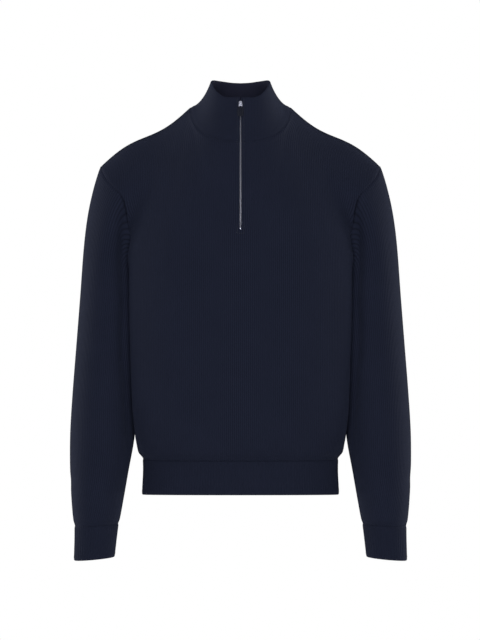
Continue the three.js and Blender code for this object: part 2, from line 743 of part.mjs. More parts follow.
const tapeMiddle = (zip.tapeInner + zip.tapeOuter) / 2;
const behindCloth = (thickness) => thickness + seamGap;
const tape = (xs) => strip(xs, zip.tapeEnd, zip.tapeTop, behindCloth, thick.tape);
addPiece('zip_tape_left', tape([zip.tapeInner, tapeMiddle, zip.tapeOuter]), tapeCloth);
addPiece('zip_tape_right', tape([-zip.tapeOuter, -tapeMiddle, -zip.tapeInner]), tapeCloth);

const across = [-zip.chainHalf, zip.chainHalf];
const stopEnd = zip.slitEnd + seamGap + zip.stopHeight;
const chainEnd = slider.middle + slider.chainTop;
const inSlit = (face, fromZ, toZ) => strip(across, fromZ, toZ, () => face, zip.chainBack - face);
addPiece('zip_bottom_stop', inSlit(zip.stopFront, zip.slitEnd + seamGap, stopEnd), zipMetal);
addPiece('zip_chain', inSlit(zip.chainFront, stopEnd + seamGap, chainEnd), zipMetal);

// Turns what is drawn as x, depth and height to stand on the cloth at a height of the zip.
function standOnZip(z) {
  const { point, direction } = onFront(placeAt(z), 0);
  const right = new THREE.Vector3(1, 0, 0);
  const inwards = direction.clone().negate();
  const up = right.clone().cross(inwards);
  return new THREE.Matrix4().makeBasis(right, inwards, up).setPosition(point);
}

function block(halfOrSpan, [nearDepth, farDepth], [low, high]) {
  const [left, right] = Array.isArray(halfOrSpan) ? halfOrSpan : [-halfOrSpan, halfOrSpan];
  const box = new THREE.BoxGeometry(right - left, farDepth - nearDepth, high - low);
  return box.translate((left + right) / 2, (nearDepth + farDepth) / 2, (low + high) / 2);
}

// A flat outline in x and height, given thickness between two depths
function slab(outline, [nearDepth, farDepth]) {
  const shape = new THREE.Shape(outline.map(([x, height]) => new THREE.Vector2(x, height)));
  const prism = new THREE.ExtrudeGeometry(shape, { depth: farDepth - nearDepth, bevelEnabled: false });
  return prism.rotateX(quarterTurn).translate(0, farDepth, 0);
}

const bothSides = (rightHalf) => {
  const leftHalf = rightHalf.map(([x, height]) => [-x, height]).reverse();
  return [...rightHalf, ...leftHalf];
};

function topStop(side) {
  const span = [side * zip.topStopInner, side * zip.topStopOuter].sort((a, b) => a - b);
  const stop = block(span, [zip.stopFront, zip.topStopBack], [0, zip.stopHeight]);
  return stop.applyMatrix4(standOnZip(zip.topStop));
}

addPiece('zip_top_stop_left', topStop(1), zipMetal);
addPiece('zip_top_stop_right', topStop(-1), zipMetal);

function sliderBody() {
  const end = slider.height / 2;
  const plate = bothSides([
    [slider.footHalf, -end], [slider.shoulderHalf, end - slider.waist],
    [slider.shoulderHalf, end - slider.crown], [slider.crownHalf, end],
  ]);
  const { overlap, bridgeFoot, bridgeTop, bridgeBar } = slider;
  const face = slider.channelFront - slider.plate;
  const hole = face - slider.bridgeRoom;
  const footDepths = [hole - overlap, face + overlap];
  const neckDepths = [slider.channelFront - overlap, slider.channelBack + overlap];
  return join(
    slab(plate, [face, slider.channelFront]),
    slab(plate, [slider.channelBack, slider.channelBack + slider.plate]),
    block(slider.neckHalf, neckDepths, [end - slider.neckHeight, end - overlap]),
    block(slider.bridgeHalf, [hole - bridgeBar, hole], [bridgeFoot, bridgeTop]),
    block(slider.bridgeHalf, footDepths, [bridgeFoot, bridgeFoot + bridgeBar]),
    block(slider.bridgeHalf, footDepths, [bridgeTop - bridgeBar, bridgeTop]),
  );
}

// A wire bent round a closed path in the plane of the pull
function wireLoop(path, depth, radius, sides) {
  const points = path.map(([x, height]) => new THREE.Vector2(x, height));
  const positions = [];
  const faces = [];
  points.forEach((point, i) => {
    const before = points[(i + points.length - 1) % points.length];
    const after = points[(i + 1) % points.length];
    const arriving = point.clone().sub(before).normalize();
    const leaving = after.clone().sub(point).normalize();
    const along = arriving.clone().add(leaving).normalize();
    const mitre = radius / along.dot(arriving);
    for (let k = 0; k < sides; k += 1) {
      const turn = (k / sides) * 2 * Math.PI;
      const side = Math.cos(turn) * mitre;
      positions.push(point.x + along.y * side);
      positions.push(depth + Math.sin(turn) * radius);
      positions.push(point.y - along.x * side);
      const other = (k + 1) % sides;
      const here = i * sides;
      const next = ((i + 1) % points.length) * sides;
      faces.push(here + k, here + other, next + other);
      faces.push(here + k, next + other, next + k);
    }
  });
  return meshGeometry(positions, faces);
}

const loopFoot = pull.hinge - pull.loopLength;

function loopOfPull() {
  const { loopHalf, loopCorner, hinge } = pull;
  const right = [
    [loopHalf - loopCorner, loopFoot], [loopHalf, loopFoot + loopCorner],
    [loopHalf, hinge - loopCorner], [loopHalf - loopCorner, hinge],
  ];
  return wireLoop(bothSides(right), pull.depth, pull.wire, pull.wireSides);
}

// The tab is a strip of leather with a tongue that is rolled round the foot of the loop.
function tabOfPull() {
  const top = loopFoot - pull.drop;
  const foot = top - pull.tabLength;
  const depths = [pull.depth - pull.tabThick / 2, pull.depth + pull.tabThick / 2];
  const rounding = (high) => Array.from({ length: pull.roundSteps + 1 }, (_, i) => {
    const turn = (i / pull.roundSteps) * quarterTurn;
    const x = pull.tabHalf - pull.tabRound * (1 - (high ? Math.cos(turn) : Math.sin(turn)));
    const fromEnd = pull.tabRound * (1 - (high ? Math.sin(turn) : Math.cos(turn)));
    return [x, high ? top - fromEnd : foot + fromEnd];
  });
  const roll = (radius, half) => new THREE.CylinderGeometry(radius, radius, 2 * half, pull.rollSides)
    .rotateZ(quarterTurn).translate(0, pull.depth, loopFoot);
  const leather = join(
    slab(bothSides([...rounding(false), ...rounding(true)]), depths),
    block(pull.rollHalf, depths, [loopFoot - pull.tongue, loopFoot]),
    roll(pull.roll, pull.rollHalf),
  );
  return cut(leather, roll(pull.rollHole, pull.tabHalf));
}

const sliderPlace = standOnZip(slider.middle);
addPiece('zip_slider', sliderBody().applyMatrix4(sliderPlace), zipMetal);
addPiece('pull_loop', loopOfPull().applyMatrix4(sliderPlace), zipMetal);
addPiece('pull_tab', tabOfPull().applyMatrix4(sliderPlace), pullLeather);

// Ribbed bands

// Points at equal distances along a curve, for ribs of one width.
function evenly(curve, countFor, closed) {
  const points = Array.from({ length: steps.curve + 1 }, (_, i) => curve(i / steps.curve));
  const far = [0];
  for (let i = 1; i < points.length; i += 1) far.push(far[i - 1] + points[i].distanceTo(points[i - 1]));
  const whole = far[steps.curve];
  const count = countFor(whole);
  const last = closed ? count : count - 1;
  return Array.from({ length: count }, (_, k) => {
    const goal = (whole * k) / last;
    const i = Math.max(1, far.findIndex((value) => value >= goal - slightest));
    return (i - 1 + (goal - far[i - 1]) / (far[i] - far[i - 1])) / steps.curve;
  });
}

// Each rib is one raised column between two that lie in the wale beside it.
const ribRelief = (i, j) => (j % 2 === 1 ? ribs.height : 0);

function hemBand(half) {
  const at = (share, z) => {
    const across = Math.abs(2 * share - 1);
    const point = trunkPoint(half, across, z);
    if (share < 0.5) point.x = -point.x;
    const down = (levels.hemTop - z) / (levels.hemTop - levels.hemEnd);
    if (half.facing < 0) point.z += hemArch * (1 - across ** 2) * down;
    return point;
  };
  const edge = (share) => at(share, levels.hemEnd);
  const shares = evenly(edge, (length) => 2 * Math.round(length / ribs.pitch) + 1, false);
  if (half.facing > 0) shares.reverse();
  const ends = [levels.hemEnd, levels.hemTop - seamGap / 2];
  const rows = ends.map((z) => shares.map((share) => at(share, z)));
  for (const row of rows) {
    for (const point of [row[0], row[row.length - 1]]) point.y += half.facing * (seamGap / 2);
  }
  const directions = outwards(rows);
  rows.forEach((_, i) => levelEdge(directions, i));
  for (const row of directions) {
    row[0].set(Math.sign(row[0].x), 0, 0);
    row[row.length - 1].set(Math.sign(row[row.length - 1].x), 0, 0);
  }
  return wall(rows, directions, thick.rib, { relief: ribRelief });
}

function cuff() {
  const topRing = (share) => sleeveRing(levels.cuffTop, share * 2 * Math.PI);
  const shares = evenly(topRing, (length) => 2 * Math.round(length / ribs.pitch), true);
  const ends = [sleeveTable[0].z, levels.cuffTop];
  const rows = ends.map((z) => shares.map((share) => sleeveRing(z, share * 2 * Math.PI)));
  rows[1].forEach((point) => point.setZ(point.z - seamGap / 2));
  const directions = outwards(rows, { around: true });
  rows.forEach((_, i) => levelEdge(directions, i));
  return wall(rows, directions, thick.rib, { around: true, relief: ribRelief });
}

addPiece('hem_front', hemBand(front), navyRib);
addPiece('hem_back', hemBand(back), navyRib);
const cuffGeometry = cuff();
addPiece('cuff_left', cuffGeometry, navyRib);

// Mirroring turns the faces inside out, so their corners are taken in the other order.
const otherCuff = cuffGeometry.clone().scale(-1, 1, 1);
otherCuff.index.array.reverse();
addPiece('cuff_right', otherCuff, navyRib);

export default sweater;
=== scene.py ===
import math

import bmesh
import bpy
import numpy as np
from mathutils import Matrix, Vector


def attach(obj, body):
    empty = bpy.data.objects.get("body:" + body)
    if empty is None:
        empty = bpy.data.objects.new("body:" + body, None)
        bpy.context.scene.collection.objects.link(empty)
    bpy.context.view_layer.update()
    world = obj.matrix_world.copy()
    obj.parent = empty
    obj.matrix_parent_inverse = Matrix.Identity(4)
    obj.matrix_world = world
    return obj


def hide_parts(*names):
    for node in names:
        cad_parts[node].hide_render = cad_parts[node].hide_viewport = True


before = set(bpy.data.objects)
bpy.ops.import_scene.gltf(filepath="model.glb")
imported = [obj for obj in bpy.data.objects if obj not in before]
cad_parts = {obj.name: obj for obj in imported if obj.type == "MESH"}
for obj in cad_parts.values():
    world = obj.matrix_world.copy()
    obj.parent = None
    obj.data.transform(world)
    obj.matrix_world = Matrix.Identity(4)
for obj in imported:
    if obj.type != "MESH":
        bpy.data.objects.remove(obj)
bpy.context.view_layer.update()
scene = bpy.context.scene
mm = 0.001  # the sizes below are millimetres, and the scene is in metres

# Small helpers


def mix(a, b, share):
    return a + (b - a) * share


def ease(value):
    share = np.clip(value, 0, 1)
    return share * share * (3 - 2 * share)


def point(x, y, z):
    return np.stack(np.broadcast_arrays(x, y, z), -1).astype(float)


def unit(vectors):
    return vectors / np.maximum(np.linalg.norm(vectors, axis=-1, keepdims=True), 1e-9)


def mirrored(points):
    return points * [-1, 1, 1]


def corner(share, square):  # how far out and how far away a rounded corner is, each 0 to 1
    angle = np.clip(share, 0, 1) * math.pi / 2
    return np.sin(angle) ** (2 / square), np.maximum(np.cos(angle), 0) ** (2 / square)


def reader(names, rows):  # reads a table between its rows, on a smooth curve through all of them
    names = names.split()
    values = np.array(rows, float)
    keys = values[:, 0]
    slopes = np.empty_like(values)
    slopes[1:-1] = (values[2:] - values[:-2]) / (keys[2:] - keys[:-2])[:, None]
    slopes[0] = (values[1] - values[0]) / (keys[1] - keys[0])
    slopes[-1] = (values[-1] - values[-2]) / (keys[-1] - keys[-2])

    def read(key):
        key = np.asarray(key, float)
        row = np.clip(np.searchsorted(keys, key), 1, len(keys) - 1)
        span = (keys[row] - keys[row - 1])[..., None]
        u = np.clip((key - keys[row - 1])[..., None] / span, 0, 1)
        start, end, rise = slopes[row - 1] * span, slopes[row] * span, values[row] - values[row - 1]
        bending = 3 * rise - 2 * start - end + u * (start + end - 2 * rise)
        found = values[row - 1] + u * (start + u * bending)
        return dict(zip(names, np.moveaxis(found, -1, 0)))

    return read


def seamReader(rows):  # the same for a seam, read at 0 to 1 along its length
    rows = np.array(rows, float)
    far = np.concatenate([[0], np.cumsum(np.linalg.norm(np.diff(rows, axis=0), axis=1))])
    return reader("share x y z", np.column_stack([far / far[-1], rows]))


# The cut of the sweater

neck = {"halfWidth": 86, "frontDrop": 64, "backDrop": 14, "front": -97, "back": 78, "square": 2.3}
shoulder = {"y": 8, "tipOut": 238, "tipDrop": 100, "wave": 6.3}
levels = {"underarm": -285, "frontTurn": -242, "backTurn": -240, "hemTop": -598, "hemEnd": -658,
          "cuffTop": -709, "cuffEnd": -765}
dent = {"y": 20, "reach": 50, "edge": 4}
thick = {"body": 2.0, "rib": 2.2, "collar": 2.3, "tape": 0.8}
underarmHeight = 14
neckShare = 0.42
hemArch = 4

trunkAt = reader("z half front back square dent", [
    (-658, 167, 101, 92, 2.5, 0), (-598, 166, 100, 91, 2.5, 0), (-586, 175, 107, 97, 2.5, 1),
    (-562, 185.5, 114, 103, 2.55, 9), (-520, 192, 119, 107, 2.6, 22), (-440, 196, 122, 109, 2.6, 32),
    (-360, 198, 126, 113, 2.6, 36), (-290, 198, 130, 119, 2.6, 36), (-225, 198, 133, 123, 2.55, 34),
    (-170, 199, 131, 123, 2.5, 28), (-120, 204, 122, 117, 2.4, 20), (-64, 208, 105, 104, 2.3, 10),
    (-14, 208, 90, 70, 2.3, 6),
])
frontArmhole = seamReader([
    (165, 8, -285), (170, -10, -272), (181, -28, -240), (189, -44, -202), (193, -54, -172),
    (200, -57, -153), (212, -50, -140), (227, -33, -123), (236, -12, -107), (238, 8, -100),
])
backArmhole = seamReader([
    (165, 8, -285), (167, 30, -271), (175, 59, -240), (184, 76, -200), (192, 82, -168),
    (204, 78, -146), (218, 64, -129), (230, 44, -114), (237, 25, -104), (238, 8, -100),
])
sleeveAt = reader("z x y across deep slant", [
    (-765, 247.5, -22, 34, 35, 3), (-709, 244, -14, 37, 38, 2), (-700, 244, -13, 39.5, 42, 1),
    (-672, 243, -9, 43.5, 47, 0), (-620, 240, -2, 49.5, 55, 0), (-559, 235, 7, 55, 61, 0),
    (-498, 232, 14, 55, 64, 0), (-379, 225.5, 20, 52.5, 66, 0), (-328, 222.5, 20, 51.5, 66, 0),
])
sleeveCap = {"ring": -328, "outLean": 0.38, "underarmLean": 1.1}
bodyBend = {"climb": 1.5, "softness": 0.32, "hemCrowd": 0.09}
collarTop = {"halfWidth": 51, "front": -77, "side": 2, "back": 57, "square": 3, "backSquare": 2.2}
collarEdgeAt = reader("degrees height", [  # from the middle of the front round to the middle of the back
    (0, 10.2), (18, 10.8), (33, 15.3), (62, 29.7), (78, 37.5), (90, 42), (106, 45.7), (120, 46.8),
    (146, 45.9), (165, 44.4), (180, 43.8),
])
collarFlare = {"sideOut": 0.42, "sideUp": 0.08, "middleOut": 0.55, "middleUp": 0.4}

front = {"facing": -1, "turn": levels["frontTurn"], "neckZ": -neck["frontDrop"], "neckY": neck["front"],
         "armhole": frontArmhole, "depth": "front"}
back = {"facing": 1, "turn": levels["backTurn"], "neckZ": -neck["backDrop"], "neckY": neck["back"],
        "armhole": backArmhole, "depth": "back"}

steps = {"neck": 40, "shoulder": 35, "upper": 66, "lower": 62, "cap": 34, "sleeve": 104, "collar": 30}


def neckSeam(half, share):
    out, away = corner(share, neck["square"])
    return point(neck["halfWidth"] * out, mix(shoulder["y"], half["neckY"], away), half["neckZ"] * away)


def topSeam(half, across):  # the neck seam and then the shoulder seam
    share = (across - neckShare) / (1 - neckShare)
    drop = shoulder["tipDrop"] * share + shoulder["wave"] * np.sin(share * 2 * math.pi)
    along = point(mix(neck["halfWidth"], shoulder["tipOut"], share), shoulder["y"], -drop)
    return np.where((across <= neckShare)[..., None], neckSeam(half, across / neckShare), along)


def topBeyond(half, across):  # past the middle it is mirrored, and past the shoulder's tip it goes on in line
    across = np.asarray(across, float)
    inside = topSeam(half, np.where(across > 1, 2 - across, np.abs(across)))
    tip = topSeam(half, np.ones_like(across))
    inside = np.where((across > 1)[..., None], 2 * tip - inside, inside)
    inside[..., 0] *= np.where(across < 0, -1, 1)
    return inside


def softTop(half, across, rise):  # the top seam as the rows below it follow it, its corner rounded off
    reach = bodyBend["softness"] * np.sqrt(1 - rise)
    beside = (topBeyond(half, across - reach) + topBeyond(half, across + reach)) / 2
    return (topBeyond(half, across) + beside) / 2


def trunkPoint(half, across, z):
    section = trunkAt(z)
    out, away = corner(across, section["square"])
    y = shoulder["y"] + half["facing"] * section[half["depth"]] * away
    pressed = section["dent"] * out * np.exp(-np.abs((y - dent["y"]) / dent["reach"]) ** dent["edge"])
    return point(section["half"] * out - pressed, y, z)


def besideArmhole(half, across, z, rise):
    seam = half["armhole"](rise)
    section = trunkAt(seam["z"])
    away = np.clip(half["facing"] * (seam["y"] - shoulder["y"]) / section[half["depth"]], 0, 1)
    seamAcross = np.arccos(away ** (section["square"] / 2)) / (math.pi / 2)
    share = across ** 3
    further = seam["x"] - trunkPoint(half, seamAcross, seam["z"])[..., 0]
    found = trunkPoint(half, across - (1 - seamAcross) * share, z)
    found[..., 0] += further * share
    return found


def bodyPoint(half, across, up):
    rise = np.maximum(up - 1, 0)
    middleZ = mix(half["turn"], half["neckZ"], rise)
    sideZ = half["armhole"](rise)["z"]
    turnZ = mix(middleZ, sideZ, across ** 3)
    lowZ = mix(levels["hemTop"], turnZ, np.minimum(up, 1))
    below = (1 - up) * (levels["underarm"] - levels["hemTop"])
    lean = np.clip(1 - below / underarmHeight, 0, 1)[..., None] ** 2
    low = mix(trunkPoint(half, across, lowZ), besideArmhole(half, across, lowZ, 0 * rise), lean)
    trunk = besideArmhole(half, across, turnZ, rise)
    middleShift = trunkPoint(half, 0 * across, middleZ) - softTop(half, 0 * across, rise)
    edgeShift = besideArmhole(half, 0 * across + 1, sideZ, rise) - softTop(half, 0 * across + 1, rise)
    share = across[..., None] ** 3
    top = softTop(half, across, rise) + middleShift * (1 - share) + edgeShift * share
    angle = rise * math.pi / 2
    high = point(
        mix(trunk[..., 0], top[..., 0], ease(rise)),
        mix(trunk[..., 1], top[..., 1], 1 - np.cos(angle)),
        mix(trunk[..., 2], top[..., 2], np.sin(angle) ** bodyBend["climb"]),
    )
    return np.where((up <= 1)[..., None], low, high)


# Columns crowd towards the middle, where the zip is, and rows towards the hem.
neckSteps = (np.arange(steps["neck"] + 1) / steps["neck"]) ** 2
acrossSteps = np.concatenate([
    neckShare * neckSteps, mix(neckShare, 1, np.arange(1, steps["shoulder"] + 1) / steps["shoulder"])])
lowSteps = np.arange(steps["lower"]) / steps["lower"]
highSteps = 1 + np.arange(steps["upper"] + 1) / steps["upper"]
upSteps = np.concatenate([lowSteps - np.sin(lowSteps * 2 * math.pi) * bodyBend["hemCrowd"], highSteps])


def bodyRows(half):  # from the middle of a panel to its side, on the wearer's left
    up, across = np.meshgrid(upSteps, acrossSteps, indexing="ij")
    return bodyPoint(half, across, up)


def sleeveRing(z, turn):
    ring = sleeveAt(z)
    return point(ring["x"] + ring["across"] * np.cos(turn), ring["y"] + ring["deep"] * np.sin(turn),
                 z - ring["slant"] * np.cos(turn))


def sleeveRows():
    count = steps["upper"]
    column = np.arange(2 * count)
    fromTip = np.where(column <= count, column, 2 * count - column) / count
    behind = column <= count
    turn = np.where(behind, fromTip, -fromTip) * math.pi
    backSeam, frontSeam = backArmhole(1 - fromTip), frontArmhole(1 - fromTip)
    start = np.where(behind[:, None], point(backSeam["x"], backSeam["y"], backSeam["z"]),
                     point(frontSeam["x"], frontSeam["y"], frontSeam["z"]))
    low = np.arange(steps["sleeve"]) / steps["sleeve"]
    z, turns = np.meshgrid(mix(levels["cuffTop"], sleeveCap["ring"], low ** 1.15), turn, indexing="ij")
    rings = sleeveRing(z, turns)
    end = sleeveRing(0 * turn + sleeveCap["ring"], turn)
    below = sleeveRing(0 * turn + sleeveCap["ring"] - 1, turn)
    length = np.linalg.norm(start - end, axis=-1, keepdims=True)
    lean = mix(sleeveCap["outLean"], sleeveCap["underarmLean"], fromTip)
    leaving = unit(point(lean, 0, -1 + 0 * lean)) * length
    arriving = unit(below - end) * length
    t = (1 - np.arange(steps["cap"] + 1) / steps["cap"])[:, None, None]
    cap = (start * (2 * t ** 3 - 3 * t ** 2 + 1) + leaving * (t ** 3 - 2 * t ** 2 + t)
           + end * (3 * t ** 2 - 2 * t ** 3) + arriving * (t ** 3 - t ** 2))
    return np.concatenate([rings, cap])


def collarPoint(half, around, up):
    inFront = half["facing"] < 0
    foot = neckSeam(half, around)
    out, away = corner(around, collarTop["square"] if inFront else collarTop["backSquare"])
    edgeZ = collarEdgeAt(around * 90 if inFront else 180 - around * 90)["height"]
    edge = point(collarTop["halfWidth"] * out,
                 mix(collarTop["side"], collarTop["front"] if inFront else collarTop["back"], away), edgeZ)
    side = np.sin(around * math.pi / 2) ** 2
    bendOut = mix(collarFlare["middleOut"], collarFlare["sideOut"], side)
    bendUp = mix(collarFlare["middleUp"], collarFlare["sideUp"], side)
    bend = point(mix(edge[..., 0], foot[..., 0], bendOut), mix(edge[..., 1], foot[..., 1], bendOut),
                 mix(foot[..., 2], edge[..., 2], bendUp))
    up = up[..., None]
    return mix(mix(foot, bend, up), mix(bend, edge, up), up)


def collarRows():  # from the middle of the front round the wearer's left to the middle of the front
    up, around = np.meshgrid(np.arange(steps["collar"] + 1) / steps["collar"], neckSteps, indexing="ij")
    frontQuarter, backQuarter = collarPoint(front, around, up), collarPoint(back, around, up)[:, ::-1]
    half = np.concatenate([frontQuarter, backQuarter[:, 1:]], 1)
    return np.concatenate([half, mirrored(half)[:, ::-1][:, 1:]], 1)


# From rows of points to cloth


def wholePanel(rows, half):  # both sides of a panel, from the right of whoever faces it to the left
    whole = np.concatenate([mirrored(rows)[:, ::-1][:, :-1], rows], 1)
    return whole if half["facing"] < 0 else whole[:, ::-1]


def padded(rows, around):
    return np.concatenate([rows[:, -1:], rows, rows[:, :1]], 1) if around else np.concatenate(
        [rows[:, :1], rows, rows[:, -1:]], 1)


def outwards(rows, around=False):
    wide = padded(rows, around)
    across = wide[:, 2:] - wide[:, :-2]
    tall = np.concatenate([rows[:1], rows, rows[-1:]])
    return unit(np.cross(across, tall[2:] - tall[:-2]))


def distances(rows):  # from the left, right, lower and upper edge, along the cloth
    across = np.pad(np.cumsum(np.linalg.norm(np.diff(rows, axis=1), axis=2), 1), ((0, 0), (1, 0)))
    up = np.pad(np.cumsum(np.linalg.norm(np.diff(rows, axis=0), axis=2), 0), ((1, 0), (0, 0)))
    return {"left": across, "right": across[:, -1:] - across, "under": up, "over": up[-1:] - up}


# How many millimetres each point lies across the wales from the middle column, and up them.
def grain(rows, directions, middle, lean, around):
    tilt = np.clip(directions[..., 2:], 0, 1)
    upright = point(0, lean, 0) * tilt + [0, 0, 1]
    up = unit(upright - directions * (upright * directions).sum(-1, keepdims=True))
    across = np.cross(up, directions)

    def along(ways, axis):
        a, b = [slice(None)] * 2, [slice(None)] * 2
        a[axis], b[axis] = slice(None, -1), slice(1, None)
        step = ((ways[tuple(a)] + ways[tuple(b)]) / 2 * np.diff(rows, axis=axis)).sum(-1)
        return np.insert(np.cumsum(step, axis), 0, 0, axis)

    wale, course = along(across, 1), along(up, 0)
    fromMiddle = wale - wale[:, middle:middle + 1]
    if around:  # counted both ways from the outside, so that the wales meet at the inside of a sleeve
        closing = ((across[:, -1] + across[:, 0]) / 2 * (rows[:, 0] - rows[:, -1])).sum(-1)
        total = (wale[:, -1] + closing)[:, None]
        column, count = np.arange(rows.shape[1]), rows.shape[1]
        backwards = (column - middle) % count > count // 2
        fromMiddle = fromMiddle + total * (column < middle) - total * backwards
    return np.stack([fromMiddle, course], -1)


pieces = {}


def addCloth(name, rows, wall, around=False, middle=0, lean=0.0):
    directions = outwards(rows, around)
    pieces[name] = {"rows": rows, "directions": directions, "around": around, "wall": wall,
                    "uv": grain(rows, directions, middle, lean, around), "away": distances(rows)}


frontHalf, backHalf, leftSleeve = bodyRows(front), bodyRows(back), sleeveRows()
middleColumn = len(acrossSteps) - 1
addCloth("frontPanelKnit", wholePanel(frontHalf, front), thick["body"], middle=middleColumn, lean=2.0)
addCloth("backPanelKnit", wholePanel(backHalf, back), thick["body"], middle=middleColumn, lean=-2.0)
addCloth("leftSleeveKnit", leftSleeve, thick["body"], around=True)
addCloth("rightSleeveKnit", mirrored(leftSleeve)[:, ::-1], thick["body"], around=True,
         middle=leftSleeve.shape[1] - 1)
addCloth("collarKnit", collarRows(), thick["collar"])
print("cloth surfaces are worked out")


# Points on a shared seam share one outward way, which the cloth beside the seam turns to.
def edgeKeys(points):
    return [tuple(key) for key in np.round(points * 20).astype(int)]


def edgesOf(piece):
    rows = piece["rows"]
    found = [("under", 0, slice(None), 1, slice(None)), ("over", -1, slice(None), -2, slice(None))]
    if not piece["around"]:
        found += [("left", slice(None), 0, slice(None), 1), ("right", slice(None), -1, slice(None), -2)]
    return [(side, (i, j), unit(rows[a, b] - rows[i, j])) for side, i, j, a, b in found]


def agreeOnWays(names, turnWidth=14):
    shared = {}
    for name in names:
        piece = pieces[name]
        for side, at, inwards in edgesOf(piece):
            for key, way, own in zip(edgeKeys(piece["rows"][at]), inwards, piece["directions"][at]):
                shared.setdefault(key, []).append((name, way, own))
    agreed = {}
    for key, found in shared.items():
        if len({name for name, _, _ in found}) > 1:
            total = sum(way + own for _, way, own in found)
            agreed[key] = total / np.linalg.norm(total)
    for name in names:
        piece = pieces[name]
        own = piece["directions"].copy()
        pull, weight = np.zeros_like(own), np.zeros(own.shape[:2] + (1,))
        for side, at, _ in edgesOf(piece):
            keys = edgeKeys(piece["rows"][at])
            ways = np.array([agreed.get(key, own[at][k]) for k, key in enumerate(keys)])
            ways = ways[None] if side in ("under", "over") else ways[:, None]
            near = (1 - ease(piece["away"][side] / turnWidth))[..., None]
            pull, weight = pull + ways * near, weight + near
        piece["directions"] = unit(own * np.maximum(1 - weight, 0) + pull)


# Each crease is a soft trough or ridge, from one place to another: width and depth are its own.
creases = {
    "frontPanelKnit": [
        {"from": (168, -262), "to": (118, -205), "width": 17, "depth": 1.6},
        {"from": (170, -300), "to": (108, -262), "width": 20, "depth": 1.3},
        {"from": (176, -470), "to": (150, -330), "width": 22, "depth": 1.0},
        {"from": (176, -560), "to": (120, -505), "width": 16, "depth": 1.2},
        {"from": (-166, -266), "to": (-124, -214), "width": 19, "depth": 1.4},
        {"from": (-172, -310), "to": (-116, -284), "width": 16, "depth": 1.5},
        {"from": (-178, -548), "to": (-132, -486), "width": 19, "depth": 1.3},
        {"from": (-150, -450), "to": (-165, -340), "width": 24, "depth": 0.9},
        {"from": (-60, -570), "to": (-42, -520), "width": 15, "depth": 0.8},
        {"from": (74, -575), "to": (66, -530), "width": 14, "depth": 0.8},
    ],
    "backPanelKnit": [
        {"from": (160, -280), "to": (96, -215), "width": 20, "depth": 1.8},
        {"from": (164, -330), "to": (88, -300), "width": 22, "depth": 1.4},
        {"from": (-162, -276), "to": (-106, -224), "width": 18, "depth": 1.7},
        {"from": (-160, -346), "to": (-92, -306), "width": 21, "depth": 1.3},
        {"from": (-150, -560), "to": (-92, -500), "width": 18, "depth": 1.4},
        {"from": (140, -556), "to": (104, -512), "width": 17, "depth": 1.2},
        {"from": (10, -572), "to": (-24, -506), "width": 20, "depth": 1.0},
    ],
}
sleeveCreases = [  # turn is in degrees from the outside of the sleeve, towards the back
    {"from": (100, -470), "to": (190, -440), "width": 13, "depth": 1.8},
    {"from": (-170, -505), "to": (-80, -478), "width": 14, "depth": 1.6},
    {"from": (-150, -420), "to": (-70, -446), "width": 15, "depth": 1.2},
    {"from": (60, -690), "to": (150, -668), "width": 9, "depth": 1.0},
    {"from": (-120, -682), "to": (-30, -664), "width": 9, "depth": 1.0},
    {"from": (-60, -640), "to": (30, -622), "width": 12, "depth": 0.9},
    {"from": (-140, -330), "to": (-100, -250), "width": 16, "depth": 1.3},
    {"from": (150, -340), "to": (112, -262), "width": 16, "depth": 1.4},
    {"from": (-116, -130), "to": (-128, -450), "width": 9, "depth": 7.0},  # pressed by the trunk
    {"from": (-120, -340), "to": (-156, -600), "width": 10, "depth": 6.5},
    {"from": (121, -160), "to": (130, -440), "width": 10, "depth": 5.0},
    {"from": (124, -350), "to": (152, -590), "width": 10, "depth": 5.5},
]


def trough(places, crease):
    start, end = np.array(crease["from"], float), np.array(crease["to"], float)
    run = end - start
    share = np.clip(((places - start) @ run) / (run @ run), 0, 1)
    off = np.linalg.norm(places - start - share[..., None] * run, axis=-1)
    fade = np.sin(np.clip(share, 0.02, 0.98) * math.pi) ** 0.7
    return -crease["depth"] * fade * np.exp(-(off / crease["width"]) ** 2)


def creased(name):
    rows = pieces[name]["rows"]
    if name in creases:
        places = rows[..., [0, 2]]
        return sum(trough(places, crease) for crease in creases[name])
    side = 1 if name == "leftSleeveKnit" else -1
    middle = sleeveAt(rows[..., 2])
    turn = np.arctan2(rows[..., 1] - middle["y"], side * rows[..., 0] - middle["x"])
    around = np.degrees(turn)
    relief = 0
    for crease in sleeveCreases:
        for whole in (-360, 0, 360):  # a crease may cross the middle of the back
            places = np.stack([(around + whole) * 1.05, rows[..., 2] + (6 if side < 0 else 0)], -1)
            relief = relief + trough(places, crease)
    return relief


seam = {"dip": 1.1, "width": 3.2, "ridge": 0.45, "ridgeAway": 6.5, "ridgeWidth": 2.6}
neckRoll = {"height": 1.6, "away": 8, "width": 4.5, "middle": 72, "reach": 22}


seamStrength = {"side": 0.35, "top": 0.7, "hem": 0.35, "neck": 0.8, "neckRidge": 0.5, "armhole": 0.4,
                "armholeRidge": 0.2, "cuff": 0.2, "band": 0.25}


def seamRelief(away, ridge=0.0):
    dip = -seam["dip"] * np.exp(-(away / seam["width"]) ** 2)
    return dip + ridge * np.exp(-((away - seam["ridgeAway"]) / seam["ridgeWidth"]) ** 2)


